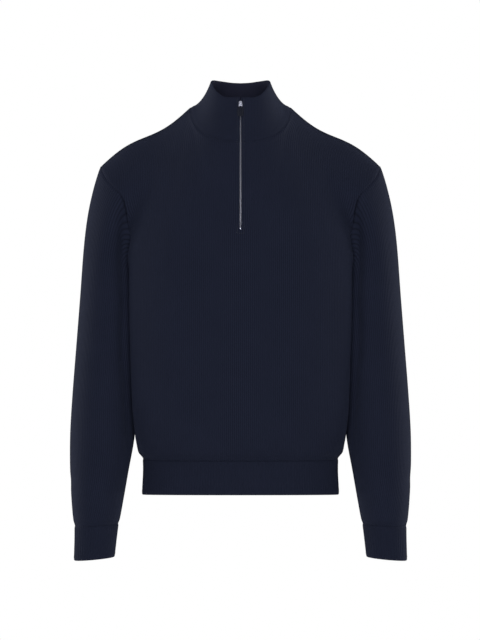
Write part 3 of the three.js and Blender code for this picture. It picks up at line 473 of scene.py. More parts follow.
agreeOnWays(list(pieces))
for name, piece in pieces.items():
    away = piece["away"]
    relief = np.zeros(piece["rows"].shape[:2])
    if name in ("frontPanelKnit", "backPanelKnit"):
        relief += creased(name)
        relief += (seamRelief(away["left"]) + seamRelief(away["right"])) * seamStrength["side"]
        relief += seamRelief(away["over"]) * seamStrength["top"]
        relief += seamRelief(away["under"]) * seamStrength["hem"]
        beside = np.exp(-((np.abs(piece["rows"][-1, :, 0]) - neckRoll["middle"]) / neckRoll["reach"]) ** 2)
        roll = np.exp(-((away["over"] - neckRoll["away"]) / neckRoll["width"]) ** 2)
        relief += neckRoll["height"] * roll * beside
    elif name == "collarKnit":
        relief += seamRelief(away["under"], ridge=seamStrength["neckRidge"]) * seamStrength["neck"]
    else:
        armholeDip = seamRelief(away["over"], ridge=seamStrength["armholeRidge"]) * seamStrength["armhole"]
        relief += creased(name) + armholeDip + seamRelief(away["under"]) * seamStrength["cuff"]
    piece["relief"] = relief

# The opening of the zip, and the cloth beside it. Depths count inwards from the cloth's outer face.
sliderSizes = {"middle": 0.8, "height": 8.6, "shoulderHalf": 2.9, "footHalf": 2.5, "crownHalf": 1.6,
               "crown": 1.5, "waist": 3.3, "plate": 1.1, "face": -0.7, "back": 3.9, "neckHalf": 0.9,
               "neckHeight": 2.2, "bridgeHalf": 1.0, "bridgeFoot": -3.2, "bridgeTop": 0.9,
               "bridgeRoom": 2.0, "bridgeBar": 0.9}
pullSizes = {"hinge": -1.6, "depth": -2.0, "wire": 0.5, "loopHalf": 2.9, "loopLength": 4.8,
             "loopCorner": 1.2, "roll": 1.35, "rollHalf": 1.8, "drop": 0.9, "tabHalf": 4.8,
             "tabLength": 16, "tabThick": 1.9, "topRound": 1.6, "footRound": 3.4, "stitchIn": 1.3}
opening = {"topHalf": 0.95, "footHalf": 2.0, "wideFrom": -20, "wideOver": 130, "end": -212,
           "pointed": 12, "spread": 14}
placket = {"fold": 1.1, "stitchAway": 5.6, "stitchDip": 0.6, "stitchWidth": 0.9,
           "tapeAway": 12.5, "tapeRise": 0.45, "sliderRoom": 9,
           "sliderNear": 0.6, "tapeFade": 3}


def openZip(name):
    piece = pieces[name]
    rows = piece["rows"]
    x, z = rows[..., 0], rows[..., 2]
    inFront = rows[..., 1] < 0
    above = np.clip((z - opening["end"]) / opening["pointed"], 0, 1)
    wide = mix(opening["topHalf"], opening["footHalf"], ease((opening["wideFrom"] - z) / opening["wideOver"]))
    half = np.where(inFront, wide * np.sqrt(above), 0)
    side = piece["side"]
    piece["rows"] = rows.copy()
    piece["rows"][..., 0] = x + side * half * np.exp(-np.abs(x) / opening["spread"])
    toEdge = np.abs(x)
    near = np.where(inFront, above, 0)
    fold = 1 - np.sqrt(np.clip(1 - (1 - np.clip(toEdge / placket["fold"], 0, 1)) ** 2, 0, 1))
    stitch = np.exp(-((toEdge - placket["stitchAway"]) / placket["stitchWidth"]) ** 2)
    atSlider = ease(np.abs(z - sliderSizes["middle"]) / placket["sliderRoom"] - placket["sliderNear"])
    raised = (1 - ease((toEdge - placket["tapeAway"]) / placket["tapeFade"] + 0.5)) * atSlider
    piece["relief"] = piece["relief"] + near * (
        placket["tapeRise"] * raised - placket["stitchDip"] * stitch - 0.9 * fold)


# Meshes


def meshPiece(name, points, faces, uv=None, materials=()):
    mesh = bpy.data.meshes.new(name)
    mesh.from_pydata((np.asarray(points) * mm).tolist(), [], [list(map(int, face)) for face in faces])
    if uv is not None:
        layer = mesh.uv_layers.new(name="UVMap")
        corners = np.empty(len(mesh.loops), int)
        mesh.loops.foreach_get("vertex_index", corners)
        layer.data.foreach_set("uv", (np.asarray(uv)[corners] * mm).astype(np.float32).ravel())
    mesh.shade_smooth()
    for material in materials:
        mesh.materials.append(material)
    made = bpy.data.objects.new(name, mesh)
    scene.collection.objects.link(made)
    return made


edgeArcSteps = 3  # rows that carry the outer face round to the inner one


def shellPiece(piece, roundOver=False, roundUnder=False, sealed=(True, True), arcSteps=edgeArcSteps):
    rows, ways = piece["rows"], piece["directions"]
    outer = rows + ways * piece["relief"][..., None]
    pressed = np.minimum(piece["relief"] + 1.2, 0)  # a deep crease shows on the inside too
    inner = rows + ways * (pressed - piece["wall"])[..., None]
    uv = piece["uv"]
    layers, places = [*outer], [*uv]

    def addArc(a, b, beyond, place):
        middle, half = (a + b) / 2, (a - b) / 2
        away = unit(beyond) * np.linalg.norm(half, axis=-1, keepdims=True)
        for k in range(arcSteps):
            turn = math.pi * (k + 1) / (arcSteps + 1)
            layers.append(middle + half * math.cos(turn) + away * math.sin(turn))
            places.append(place)

    if roundOver:
        addArc(outer[-1], inner[-1], rows[-1] - rows[-2], uv[-1])
    layers += [*inner[::-1]]
    places += [*uv[::-1]]
    if roundUnder:
        addArc(inner[0], outer[0], rows[0] - rows[1], uv[0])
    layers, places = np.array(layers), np.array(places)
    count, width = layers.shape[:2]
    index = np.arange(count * width).reshape(count, width)
    below, above = index, np.roll(index, -1, 0)
    if piece["around"]:
        right = np.roll(index, -1, 1)
        faces = np.stack([below, right, np.roll(right, -1, 0), above], -1).reshape(-1, 4)
    else:
        faces = np.stack([below[:, :-1], below[:, 1:], above[:, 1:], above[:, :-1]], -1).reshape(-1, 4)
    faces = faces.tolist()
    height = len(rows)
    back = lambda i: count - 1 - (arcSteps if roundUnder else 0) - i
    if not piece["around"]:
        for edge, isSealed, flip in ((0, sealed[0], False), (width - 1, sealed[1], True)):
            column = index[:, edge]
            for i in range(height - 1):
                if isSealed is True or isSealed(i):
                    face = [column[i], column[i + 1], column[back(i + 1)], column[back(i)]]
                    faces.append(face[::-1] if flip else face)
            if roundOver and (isSealed is True or isSealed(height - 1)):
                cap = [column[height - 1 + k] for k in range(arcSteps + 2)]
                faces.append(cap[::-1] if flip else cap)
            if roundUnder:
                cap = [column[0], *[column[count - 1 - k] for k in range(arcSteps + 1)]]
                faces.append(cap if flip else cap[::-1])
    return layers.reshape(-1, 3), faces, places.reshape(-1, 2)


def joinParts(parts):
    points, faces, uv, start = [], [], [], 0
    for somePoints, someFaces, someUv in parts:
        faces += [[index + start for index in face] for face in someFaces]
        points.append(somePoints)
        uv.append(someUv)
        start += len(somePoints)
    return np.concatenate(points), faces, np.concatenate(uv)


def weld(made, distance=0.02):
    mesh = bmesh.new()
    mesh.from_mesh(made.data)
    bmesh.ops.remove_doubles(mesh, verts=mesh.verts, dist=distance * mm)
    mesh.to_mesh(made.data)
    mesh.free()
    made.data.shade_smooth()


def slicePiece(piece, columns, side):
    cut = dict(piece)
    for key in ("rows", "directions", "relief", "uv"):
        cut[key] = piece[key][:, columns]
    cut["side"] = side
    return cut


# Materials


class Socket:  # an output of a node, on which sums can be written
    def __init__(self, tree, socket):
        self.tree, self.socket = tree, socket

    def maths(self, operation, a, b=None):
        values = {0: a} if b is None else {0: a, 1: b}
        return node(self.tree, "ShaderNodeMath", {"operation": operation}, values)

    def __add__(self, other):
        return self.maths("ADD", self, other)

    def __sub__(self, other):
        return self.maths("SUBTRACT", self, other)

    def __rsub__(self, other):
        return self.maths("SUBTRACT", other, self)

    def __mul__(self, other):
        return self.maths("MULTIPLY", self, other)

    def __truediv__(self, other):
        return self.maths("DIVIDE", self, other)

    def __pow__(self, other):
        return self.maths("POWER", self, other)

    __radd__, __rmul__ = __add__, __mul__

    def sine(self):
        return self.maths("SINE", self)

    def size(self):
        return self.maths("ABSOLUTE", self)

    def fraction(self):
        return self.maths("FRACT", self)


def node(tree, kind, settings=None, values=None, output=0):  # any node: its settings, then its sockets
    made = tree.nodes.new(kind)
    for name, value in (settings or {}).items():
        if name == "stops":
            while len(made.color_ramp.elements) < len(value):
                made.color_ramp.elements.new(0.5)
            for element, (place, colour) in zip(made.color_ramp.elements, value):
                element.position, element.color = place, colour
        else:
            setattr(made, name, value)
    for name, value in (values or {}).items():
        if isinstance(value, Socket):
            tree.links.new(value.socket, made.inputs[name])
        else:
            made.inputs[name].default_value = value
    return Socket(tree, made.outputs[output]) if made.outputs else None


def newMaterial(name):
    material = bpy.data.materials.new(name)
    material.use_nodes = True
    material.node_tree.nodes.clear()
    return material, material.node_tree


def finishMaterial(tree, values):
    surface = node(tree, "ShaderNodeBsdfPrincipled", {}, values)
    node(tree, "ShaderNodeOutputMaterial", {}, {"Surface": surface})


def rgb(r, g, b):
    return (r, g, b, 1.0)


# The groove colour is painted shade: a darker colour laid into the hollows between the wales.
knitLook = {
    "colour": rgb(0.0094, 0.0121, 0.0258), "paintedGrooveShade": rgb(0.0022, 0.0029, 0.0064),
    "fleck": rgb(0.0124, 0.0155, 0.0320), "wale": 3.4, "course": 2.3, "slant": 0.85,
    "waleDepth": 0.0005, "stitchDepth": 0.00018, "sheen": 0.045, "roughness": 0.9,
}


def knitMaterial(name, look, wales=True):
    material, tree = newMaterial(name)
    place = node(tree, "ShaderNodeUVMap", {"uv_map": "UVMap"})
    u = node(tree, "ShaderNodeSeparateXYZ", {}, {0: place}, 0)
    v = node(tree, "ShaderNodeSeparateXYZ", {}, {0: place}, 1)
    cloud = node(tree, "ShaderNodeTexNoise", {}, {"Vector": place, "Scale": 14.0, "Detail": 2.0})
    fuzz = node(tree, "ShaderNodeTexNoise", {}, {"Vector": place, "Scale": 900.0, "Detail": 3.0})
    across = (u / (look["wale"] * mm)).fraction() - 0.5
    ridge = (1 - (across.size() * 2) ** 2.4)
    stitch = ((v / (look["course"] * mm) + across.size() * look["slant"]) * (2 * math.pi)).sine()
    height = ridge * look["waleDepth"] + stitch * ridge * (look["stitchDepth"] / 2) + fuzz * 0.00012
    if not wales:
        height = stitch * (look["stitchDepth"] / 2) + fuzz * 0.00012
    bump = node(tree, "ShaderNodeBump", {}, {"Strength": 1.0, "Distance": 1.0, "Height": height})
    # Painted shade: the groove colour darkens the knit between the wales, and on the ribbed bands it is mixed
    # in evenly at three tenths.
    shade = node(tree, "ShaderNodeMix", {"data_type": "RGBA"}, {
        "Factor": ridge ** 0.7 if wales else 0.7, 6: look["paintedGrooveShade"], 7: look["colour"]}, 2)
    tint = node(tree, "ShaderNodeMix", {"data_type": "RGBA"}, {
        "Factor": cloud * 0.45, 6: shade, 7: look["fleck"]}, 2)
    finishMaterial(tree, {
        "Base Color": tint, "Roughness": fuzz * 0.12 + (look["roughness"] - 0.06), "Normal": bump,
        "Sheen Weight": look["sheen"], "Sheen Roughness": 0.45, "Sheen Tint": rgb(0.45, 0.55, 1.0),
        "Specular IOR Level": 0.1,
    })
    return material


bodyKnit = knitMaterial("bodyKnit", knitLook)
collarKnit = knitMaterial("collarKnit", {**knitLook, "wale": 2.6, "waleDepth": 0.00026})
ribKnit = knitMaterial("ribKnit", knitLook, wales=False)
collarInsidePaintedLight = knitMaterial("collarInsideKnit", {  # the collar's inside face: a paler, greyer copy of its knit, painted light that brightens the inside of the collar
    **knitLook, "colour": rgb(0.0175, 0.0190, 0.0370), "paintedGrooveShade": rgb(0.0095, 0.0103, 0.0200),
    "fleck": rgb(0.0210, 0.0225, 0.0430), "wale": 2.6, "waleDepth": 0.0002})


def tapeMaterial():
    material, tree = newMaterial("zipTapeWeave")
    place = node(tree, "ShaderNodeTexCoord", {}, {}, 3)
    x = node(tree, "ShaderNodeSeparateXYZ", {}, {0: place}, 0)
    z = node(tree, "ShaderNodeSeparateXYZ", {}, {0: place}, 2)
    lean = (x / (3 * mm)).fraction() - 0.5
    twill = ((z / (0.9 * mm) + lean.size() * 3) * (2 * math.pi)).sine()
    bump = node(tree, "ShaderNodeBump", {}, {"Strength": 0.7, "Distance": 1.0, "Height": twill * 0.0001})
    # Painted shade: the darker colour lies in the lows of the twill and the lighter one on its highs.
    shade = node(tree, "ShaderNodeMix", {"data_type": "RGBA"}, {
        "Factor": twill * 0.5 + 0.5, 6: rgb(0.006, 0.007, 0.011), 7: rgb(0.014, 0.016, 0.024)}, 2)
    finishMaterial(tree, {"Base Color": shade, "Roughness": 0.75, "Normal": bump})
    return material


def metalMaterial():
    material, tree = newMaterial("zipMetalPolished")
    place = node(tree, "ShaderNodeTexCoord", {}, {}, 3)
    smudge = node(tree, "ShaderNodeTexNoise", {}, {"Vector": place, "Scale": 420.0, "Detail": 4.0})
    scratch = node(tree, "ShaderNodeTexNoise", {}, {"Vector": place, "Scale": 2600.0, "Detail": 2.0})
    shade = node(tree, "ShaderNodeMix", {"data_type": "RGBA"}, {
        "Factor": smudge, 6: rgb(0.29, 0.30, 0.37), 7: rgb(0.46, 0.47, 0.56)}, 2)
    bump = node(tree, "ShaderNodeBump", {}, {"Strength": 0.3, "Distance": 1.0, "Height": scratch * 0.00004})
    finishMaterial(tree, {"Base Color": shade, "Metallic": 1.0, "Roughness": smudge * 0.20 + 0.28,
                          "Normal": bump})
    return material


def leatherMaterial():
    material, tree = newMaterial("pullLeatherGrain")
    place = node(tree, "ShaderNodeTexCoord", {}, {}, 3)
    grainCells = node(tree, "ShaderNodeTexVoronoi", {"feature": "DISTANCE_TO_EDGE"}, {
        "Vector": place, "Scale": 1500.0})
    wear = node(tree, "ShaderNodeTexNoise", {}, {"Vector": place, "Scale": 300.0, "Detail": 3.0})
    shade = node(tree, "ShaderNodeMix", {"data_type": "RGBA"}, {
        "Factor": wear, 6: rgb(0.0020, 0.0032, 0.0090), 7: rgb(0.0044, 0.0062, 0.0155)}, 2)
    bump = node(tree, "ShaderNodeBump", {}, {"Strength": 0.6, "Distance": 1.0, "Height": grainCells * 0.0002})
    finishMaterial(tree, {"Base Color": shade, "Roughness": wear * 0.2 + 0.42, "Normal": bump,
                          "Specular IOR Level": 0.12})
    return material


def threadMaterial():
    material, tree = newMaterial("threadTwist")
    place = node(tree, "ShaderNodeTexCoord", {}, {}, 3)
    x = node(tree, "ShaderNodeSeparateXYZ", {}, {0: place}, 0)
    z = node(tree, "ShaderNodeSeparateXYZ", {}, {0: place}, 2)
    ply = (((z + x) / (0.5 * mm)) * (2 * math.pi)).sine()
    bump = node(tree, "ShaderNodeBump", {}, {"Strength": 0.6, "Distance": 1.0, "Height": ply * 0.00005})
    # Painted shade: the darker colour lies in the lows of the ply's twist and the lighter one on its highs.
    shade = node(tree, "ShaderNodeMix", {"data_type": "RGBA"}, {
        "Factor": ply * 0.5 + 0.5, 6: rgb(0.0055, 0.0066, 0.0135), 7: rgb(0.0105, 0.0122, 0.0230)}, 2)
    finishMaterial(tree, {"Base Color": shade, "Roughness": 0.6, "Normal": bump, "Sheen Weight": 0.1})
    return material


zipTapeWeave, zipMetal, pullLeather = tapeMaterial(), metalMaterial(), leatherMaterial()
threadTwist = threadMaterial()
print("materials are made")

# Cloth pieces

slitRow = int(np.argmax(pieces["frontPanelKnit"]["rows"][:, middleColumn, 2] > opening["end"])) - 1
frontPiece = pieces["frontPanelKnit"]
halves = {"right": slicePiece(frontPiece, slice(0, middleColumn + 1), -1),
          "left": slicePiece(frontPiece, slice(middleColumn, None), 1)}
pieces.update(halves)
for side in halves:
    openZip(side)
parts = [
    shellPiece(pieces["right"], sealed=(True, lambda i: i >= slitRow)),
    shellPiece(pieces["left"], sealed=(lambda i: i >= slitRow, True)),
]
made = {}
made["frontPanelKnit"] = meshPiece("frontPanelKnit", *joinParts(parts), [bodyKnit])
weld(made["frontPanelKnit"])

collarPiece = pieces["collarKnit"]
middleBack = 2 * steps["neck"]
side = np.where(np.arange(collarPiece["rows"].shape[1]) <= middleBack, 1, -1)[None, :]
collarPiece["side"] = side
openZip("collarKnit")
made["collarKnit"] = meshPiece("collarKnit", *shellPiece(collarPiece, roundOver=True),
                               [collarKnit, collarInsidePaintedLight])
# The faces of the inside face take the paler copy of the knit, painted light for the inside of the collar.
firstInside = collarPiece["rows"][..., 0].size + edgeArcSteps * collarPiece["rows"].shape[1]
for face in made["collarKnit"].data.polygons:
    face.material_index = int(min(face.vertices) >= firstInside)
for name in ("backPanelKnit", "leftSleeveKnit", "rightSleeveKnit"):
    made[name] = meshPiece(name, *shellPiece(pieces[name]), [bodyKnit])
print("panels, sleeves and collar are made")

# Ribbed bands

ribLook = {"footShare": 0.6, "footFade": 4,
           "pitch": 4.6, "height": 0.62, "roundness": 0.75, "columns": 8, "rows": 22, "endFade": 3.0,
           "edgeAway": 5.0, "edgeRidge": 0.3}


def evenShares(curve, count):
    fine = np.linspace(0, 1, 2001)
    far = np.concatenate([[0], np.cumsum(np.linalg.norm(np.diff(curve(fine), axis=0), axis=1))])
    return np.interp(np.linspace(0, far[-1], count), far, fine), far[-1]


def hemPoint(half, share, z):
    across = np.abs(2 * share - 1)
    found = trunkPoint(half, across, z)
    found[..., 0] = np.where(share < 0.5, -found[..., 0], found[..., 0])
    if half["facing"] < 0:
        found[..., 2] += hemArch * (1 - across ** 2) * np.clip((levels["hemTop"] - z) / 60, 0, 1)
    return found


def ribTree(name="raisedRibs"):
    tree = bpy.data.node_groups.new(name, "GeometryNodeTree")
    tree.interface.new_socket("Geometry", in_out="INPUT", socket_type="NodeSocketGeometry")
    sizes = {"Rib height": ribLook["height"] * mm, "Rib roundness": ribLook["roundness"]}
    for label, value in sizes.items():
        socket = tree.interface.new_socket(label, in_out="INPUT", socket_type="NodeSocketFloat")
        socket.default_value = value
    tree.interface.new_socket("Knit", in_out="INPUT", socket_type="NodeSocketMaterial")
    tree.interface.new_socket("Geometry", in_out="OUTPUT", socket_type="NodeSocketGeometry")
    given = tree.nodes.new("NodeGroupInput")
    cloth, height, roundness, knit = (Socket(tree, given.outputs[k]) for k in range(4))
    attribute = "GeometryNodeInputNamedAttribute"
    turn = node(tree, attribute, {"data_type": "FLOAT"}, {"Name": "ribTurn"})
    raised = node(tree, attribute, {"data_type": "FLOAT"}, {"Name": "raised"})
    way = node(tree, attribute, {"data_type": "FLOAT_VECTOR"}, {"Name": "outwards"})
    profile = (turn * math.pi).sine().size() ** roundness
    offset = node(tree, "ShaderNodeVectorMath", {"operation": "SCALE"}, {
        0: way, "Scale": profile * raised * height})
    moved = node(tree, "GeometryNodeSetPosition", {}, {"Geometry": cloth, "Offset": offset})
    real = node(tree, "GeometryNodeRealizeInstances", {}, {0: moved})
    dressed = node(tree, "GeometryNodeSetMaterial", {}, {"Geometry": real, "Material": knit})
    node(tree, "NodeGroupOutput", {}, {0: dressed})
    return tree


def applyTree(obj, tree, values):
    modifier = obj.modifiers.new(tree.name, "NODES")
    modifier.node_group = tree
    for item in tree.interface.items_tree:
        if item.in_out == "INPUT" and item.name in values:
            modifier[item.identifier] = values[item.name]
    depsgraph = bpy.context.evaluated_depsgraph_get()
    mesh = bpy.data.meshes.new_from_object(obj.evaluated_get(depsgraph))
    obj.modifiers.clear()
    obj.data = mesh
    mesh.name = obj.name
    return obj


ribsTree = ribTree()


def ribbedBand(name, rows, around, ribTurn):
    directions = outwards(rows, around)
    directions[..., 2] = 0
    directions = unit(directions)
    if not around:
        directions[:, 0] = unit(directions[:, 0] * [1, 0, 0])
        directions[:, -1] = unit(directions[:, -1] * [1, 0, 0])
    away = distances(rows)
    relief = seamRelief(away["over"]) * seamStrength["band"] + ribLook["edgeRidge"] * np.exp(
        -((away["under"] - ribLook["edgeAway"]) / 1.1) ** 2)
    uv = np.stack([np.broadcast_to(ribTurn * ribLook["pitch"], rows.shape[:2]), away["under"]], -1)
    piece = {"rows": rows, "directions": directions, "around": around, "wall": thick["rib"],
             "uv": uv, "relief": relief}
    points, faces, places = shellPiece(piece, roundUnder=True)
    band = meshPiece(name, points, faces, places, [ribKnit])
    height, width = rows.shape[:2]
    total = len(points)
    raised = np.zeros(total)
    fade = ease(away["over"] / ribLook["endFade"]) * mix(
        ribLook["footShare"], 1, ease(away["under"] / ribLook["footFade"]))
    raised[: height * width] = fade.ravel()
    turns = np.tile(ribTurn, total // width)
    ways = np.tile(directions[0], (total // width, 1))
    ways[: height * width] = directions.reshape(-1, 3)
    for label, kind, values in (("ribTurn", "FLOAT", turns), ("raised", "FLOAT", raised)):
        band.data.attributes.new(label, kind, "POINT").data.foreach_set("value", values.astype(np.float32))
    band.data.attributes.new("outwards", "FLOAT_VECTOR", "POINT").data.foreach_set(
        "vector", ways.astype(np.float32).ravel())
    applyTree(band, ribsTree, {"Rib height": ribLook["height"] * mm, "Rib roundness": ribLook["roundness"],
                               "Knit": ribKnit})
    for label in ("ribTurn", "raised", "outwards"):
        band.data.attributes.remove(band.data.attributes[label])
    return band


def hemBand(name, half):
    def curve(share):
        return hemPoint(half, share, 0 * share + levels["hemEnd"])

    length = evenShares(curve, 2)[1]
    count = round(length / ribLook["pitch"])
    shares = evenShares(curve, count * ribLook["columns"] + 1)[0]
    z = np.linspace(levels["hemEnd"], levels["hemTop"], ribLook["rows"])
    grid, share = np.meshgrid(z, shares, indexing="ij")
    rows = hemPoint(half, share, grid)
    turn = np.arange(len(shares)) / ribLook["columns"]
    return ribbedBand(name, rows if half["facing"] < 0 else rows[:, ::-1], False, turn)


def cuffBand(name, side):
    def curve(share):
        return sleeveRing(0 * share + levels["cuffTop"], share * 2 * math.pi)

    length = evenShares(curve, 2)[1]
    count = round(length / ribLook["pitch"])
    shares = evenShares(curve, count * ribLook["columns"] + 1)[0][:-1]
    z = np.linspace(levels["cuffEnd"], levels["cuffTop"], ribLook["rows"])
    grid, share = np.meshgrid(z, shares, indexing="ij")
    rows = sleeveRing(grid, share * 2 * math.pi)
    turn = np.arange(len(shares)) / ribLook["columns"]
    return ribbedBand(name, rows if side > 0 else mirrored(rows)[:, ::-1], True, turn)


made["frontHemRib"] = hemBand("frontHemRib", front)
made["backHemRib"] = hemBand("backHemRib", back)
made["leftCuffRib"] = cuffBand("leftCuffRib", 1)
made["rightCuffRib"] = cuffBand("rightCuffRib", -1)
print("ribbed bands are knitted")

# Zip

zipSizes = {"pitch": 1.05, "toothLong": 1.9, "toothHigh": 0.62, "toothDeep": 1.9, "aside": 0.62,
            "topDepth": 2.9, "footDepth": 1.5, "risesFrom": -20, "risesOver": 110, "top": 2.2,
            "tuck": 2.0, "tuckHeight": 10, "stopRoom": 2.6}
tapeSizes = {"inner": 1.9, "outer": 13.0, "end": -222, "top": 7.5, "gap": 0.3, "rows": 90, "columns": 12}

nearZip = steps["neck"] + 1
zipSheet = np.concatenate([frontHalf[:, :nearZip], collarRows()[1:, :nearZip]])
zipWays = np.concatenate([frontPiece["directions"][:, middleColumn:middleColumn + nearZip],
                          collarPiece["directions"][1:, :nearZip]])
zipWays[:, 0, 0] = 0


def onFront(z, x):  # the cloth's outer face and the way out of it, at a height and beside the middle line
    z, x = np.broadcast_arrays(np.asarray(z, float), np.asarray(x, float))
    place = np.interp(z.ravel(), zipSheet[:, 0, 2], np.arange(len(zipSheet)))
    low = np.minimum(place.astype(int), len(zipSheet) - 2)
    share = (place - low)[:, None, None]
    found = []
    for sheet in (zipSheet, zipWays):
        lines = mix(sheet[low], sheet[low + 1], share)
        reach = mix(zipSheet[low], zipSheet[low + 1], share)[..., 0]
        read = np.array([[np.interp(abs(at), far, line[:, k]) for k in range(3)]
                         for at, far, line in zip(x.ravel(), reach, lines)])
        read[:, 0] *= np.sign(x.ravel())
        found.append(read.reshape(x.shape + (3,)))
    return found[0], unit(found[1])


def standing(z, points):  # from x, depth and height at a place of the zip to the frame of the sweater
    on, way = onFront(z, 0.0)
    points = np.asarray(points, float)
    return on + points[:, :1] * [1, 0, 0] - points[:, 1:2] * way + points[:, 2:] * np.cross([1, 0, 0], -way)


def rounded(outline, radii, steps=6):  # a closed outline whose corners are rounded off
    outline, found = np.array(outline, float), []
    for before, at, after, radius in zip(np.roll(outline, 1, 0), outline, np.roll(outline, -1, 0), radii):
        if radius == 0:
            found.append(at[None])
            continue
        ends = [at + unit(other - at) * min(radius, np.linalg.norm(other - at) * 0.49)
                for other in (before, after)]
        t = np.linspace(0, 1, steps + 1)[:, None]
        found.append(ends[0] * (1 - t) ** 2 + 2 * t * (1 - t) * at + ends[1] * t ** 2)
    return np.concatenate(found)


def bothSides(right):
    return [*right, *[(-x, height) for x, height in right[::-1]]]


def bevelled(outline, near, far, width, segments=3):  # an outline in x and height, thick from near to far
    shape = bmesh.new()
    face = shape.faces.new([shape.verts.new((x, near, height)) for x, height in outline])
    pushed = bmesh.ops.extrude_face_region(shape, geom=[face])["geom"]
    for vertex in [item for item in pushed if isinstance(item, bmesh.types.BMVert)]:
        vertex.co.y = far
    bmesh.ops.recalc_face_normals(shape, faces=shape.faces[:])
    sharp = [edge for edge in shape.edges if edge.calc_face_angle(0) > 0.6]
    bmesh.ops.bevel(shape, geom=sharp, offset=width, segments=segments, profile=0.5, affect="EDGES")
    shape.verts.index_update()
    points = np.array([vertex.co[:] for vertex in shape.verts])
    faces = [[vertex.index for vertex in face.verts] for face in shape.faces]
    shape.free()
    return points, faces


def swept(path, flat, halves, sides=12, closed=False, square=2.0):  # a bar bent along a path in one plane
    path, flat = np.asarray(path, float), np.asarray(flat, float)
    along = np.roll(path, -1, 0) - np.roll(path, 1, 0) if closed else np.gradient(path, axis=0)
    side = unit(np.cross(unit(along), flat))
    turn = np.arange(sides) / sides * 2 * math.pi
    a = np.sign(np.cos(turn)) * np.abs(np.cos(turn)) ** (2 / square) * halves[0]
    b = np.sign(np.sin(turn)) * np.abs(np.sin(turn)) ** (2 / square) * halves[1]
    rings = path[:, None] + side[:, None] * a[None, :, None] + flat * b[None, :, None]
    index = np.arange(len(path) * sides).reshape(len(path), sides)
    here, there = (index, np.roll(index, -1, 0)) if closed else (index[:-1], index[1:])
    faces = np.stack([here, np.roll(here, -1, 1), np.roll(there, -1, 1), there], -1).reshape(-1, 4).tolist()
    if not closed:
        faces += [index[0][::-1].tolist(), index[-1].tolist()]
    return rings.reshape(-1, 3), faces


def hardPiece(name, z, shapes, material):  # shapes drawn as x, depth and height, set on the zip
    parts = [(standing(z, points), faces, points[:, ::2]) for points, faces in shapes]
    points, faces, uv = joinParts(parts)
    piece = meshPiece(name, points, faces, uv, [material])
    shape = bmesh.new()
    shape.from_mesh(piece.data)
    bmesh.ops.recalc_face_normals(shape, faces=shape.faces[:])
    shape.to_mesh(piece.data)
    shape.free()
    piece.data.shade_smooth()
    return piece


def smallItem(name, points, faces):  # what a tree of nodes repeats, in metres
    mesh = bpy.data.meshes.new(name)
    mesh.from_pydata((np.asarray(points) * mm).tolist(), [], [list(map(int, face)) for face in faces])
    mesh.shade_smooth()
    item = bpy.data.objects.new(name, mesh)
    scene.collection.objects.link(item)
    return item


def toothItem():
    long, high = zipSizes["toothLong"] / 2, zipSizes["toothHigh"] / 2
    outline = [(-long, -high), (long * 0.9, -high * 0.85), (long * 0.9, high * 0.85), (-long, high)]
    points, faces = bevelled(outline, -zipSizes["toothDeep"] / 2, zipSizes["toothDeep"] / 2, 0.16, 2)
    return smallItem("zipTooth", points, faces)


def stitchItem(long, radius):
    height = np.linspace(-1, 1, 7)
    radii = radius * np.sqrt(np.clip(1 - np.abs(height) ** 4, 0.02, 1))
    turn = np.arange(8) / 8 * 2 * math.pi
    rings = point(np.cos(turn) * radii[:, None], np.sin(turn) * radii[:, None], height[:, None] * long / 2)
    index = np.arange(rings[..., 0].size).reshape(rings.shape[:2])
    faces = np.stack([index[:-1], np.roll(index[:-1], -1, 1), np.roll(index[1:], -1, 1), index[1:]], -1)
    faces = faces.reshape(-1, 4).tolist() + [index[0][::-1].tolist(), index[-1].tolist()]
    return smallItem("stitch", rings.reshape(-1, 3), faces)


def repeatTree(name):  # sets an item along a path, every other one turned round and moved the other way
    tree = bpy.data.node_groups.new(name, "GeometryNodeTree")
    tree.interface.new_socket("Geometry", in_out="INPUT", socket_type="NodeSocketGeometry")
    for label in ("Spacing", "Aside"):
        tree.interface.new_socket(label, in_out="INPUT", socket_type="NodeSocketFloat")
    tree.interface.new_socket("Item", in_out="INPUT", socket_type="NodeSocketObject")
    tree.interface.new_socket("Finish", in_out="INPUT", socket_type="NodeSocketMaterial")
    tree.interface.new_socket("Geometry", in_out="OUTPUT", socket_type="NodeSocketGeometry")
    given = tree.nodes.new("NodeGroupInput")
    path, spacing, aside, item, finish = (Socket(tree, given.outputs[k]) for k in range(5))
    curve = node(tree, "GeometryNodeMeshToCurve", {}, {0: path})
    points = node(tree, "GeometryNodeCurveToPoints", {"mode": "LENGTH"}, {"Curve": curve, "Length": spacing})
    tangent = Socket(tree, points.socket.node.outputs["Tangent"])
    odd = node(tree, "ShaderNodeMath", {"operation": "MODULO"}, {
        0: node(tree, "GeometryNodeInputIndex"), 1: 2.0})
    shift = node(tree, "ShaderNodeCombineXYZ", {}, {"X": (odd * 2 - 1) * aside})
    placed = node(tree, "GeometryNodeSetPosition", {}, {"Geometry": points, "Offset": shift})
    upright = node(tree, "FunctionNodeAlignRotationToVector", {"axis": "Z"}, {"Vector": tangent})
    turned = node(tree, "FunctionNodeRotateRotation", {"rotation_space": "LOCAL"}, {
        0: upright, 1: node(tree, "FunctionNodeAxisAngleToRotation", {}, {
            "Axis": (0, 0, 1), "Angle": odd * math.pi})})
    shape = node(tree, "GeometryNodeObjectInfo", {"transform_space": "ORIGINAL"}, {0: item}, 4)
    many = node(tree, "GeometryNodeInstanceOnPoints", {}, {
        "Points": placed, "Instance": shape, "Rotation": turned})
    real = node(tree, "GeometryNodeRealizeInstances", {}, {0: many})
    dressed = node(tree, "GeometryNodeSetMaterial", {}, {"Geometry": real, "Material": finish})
    node(tree, "NodeGroupOutput", {}, {0: dressed})
    return tree


repeated = repeatTree("setAlongAPath")


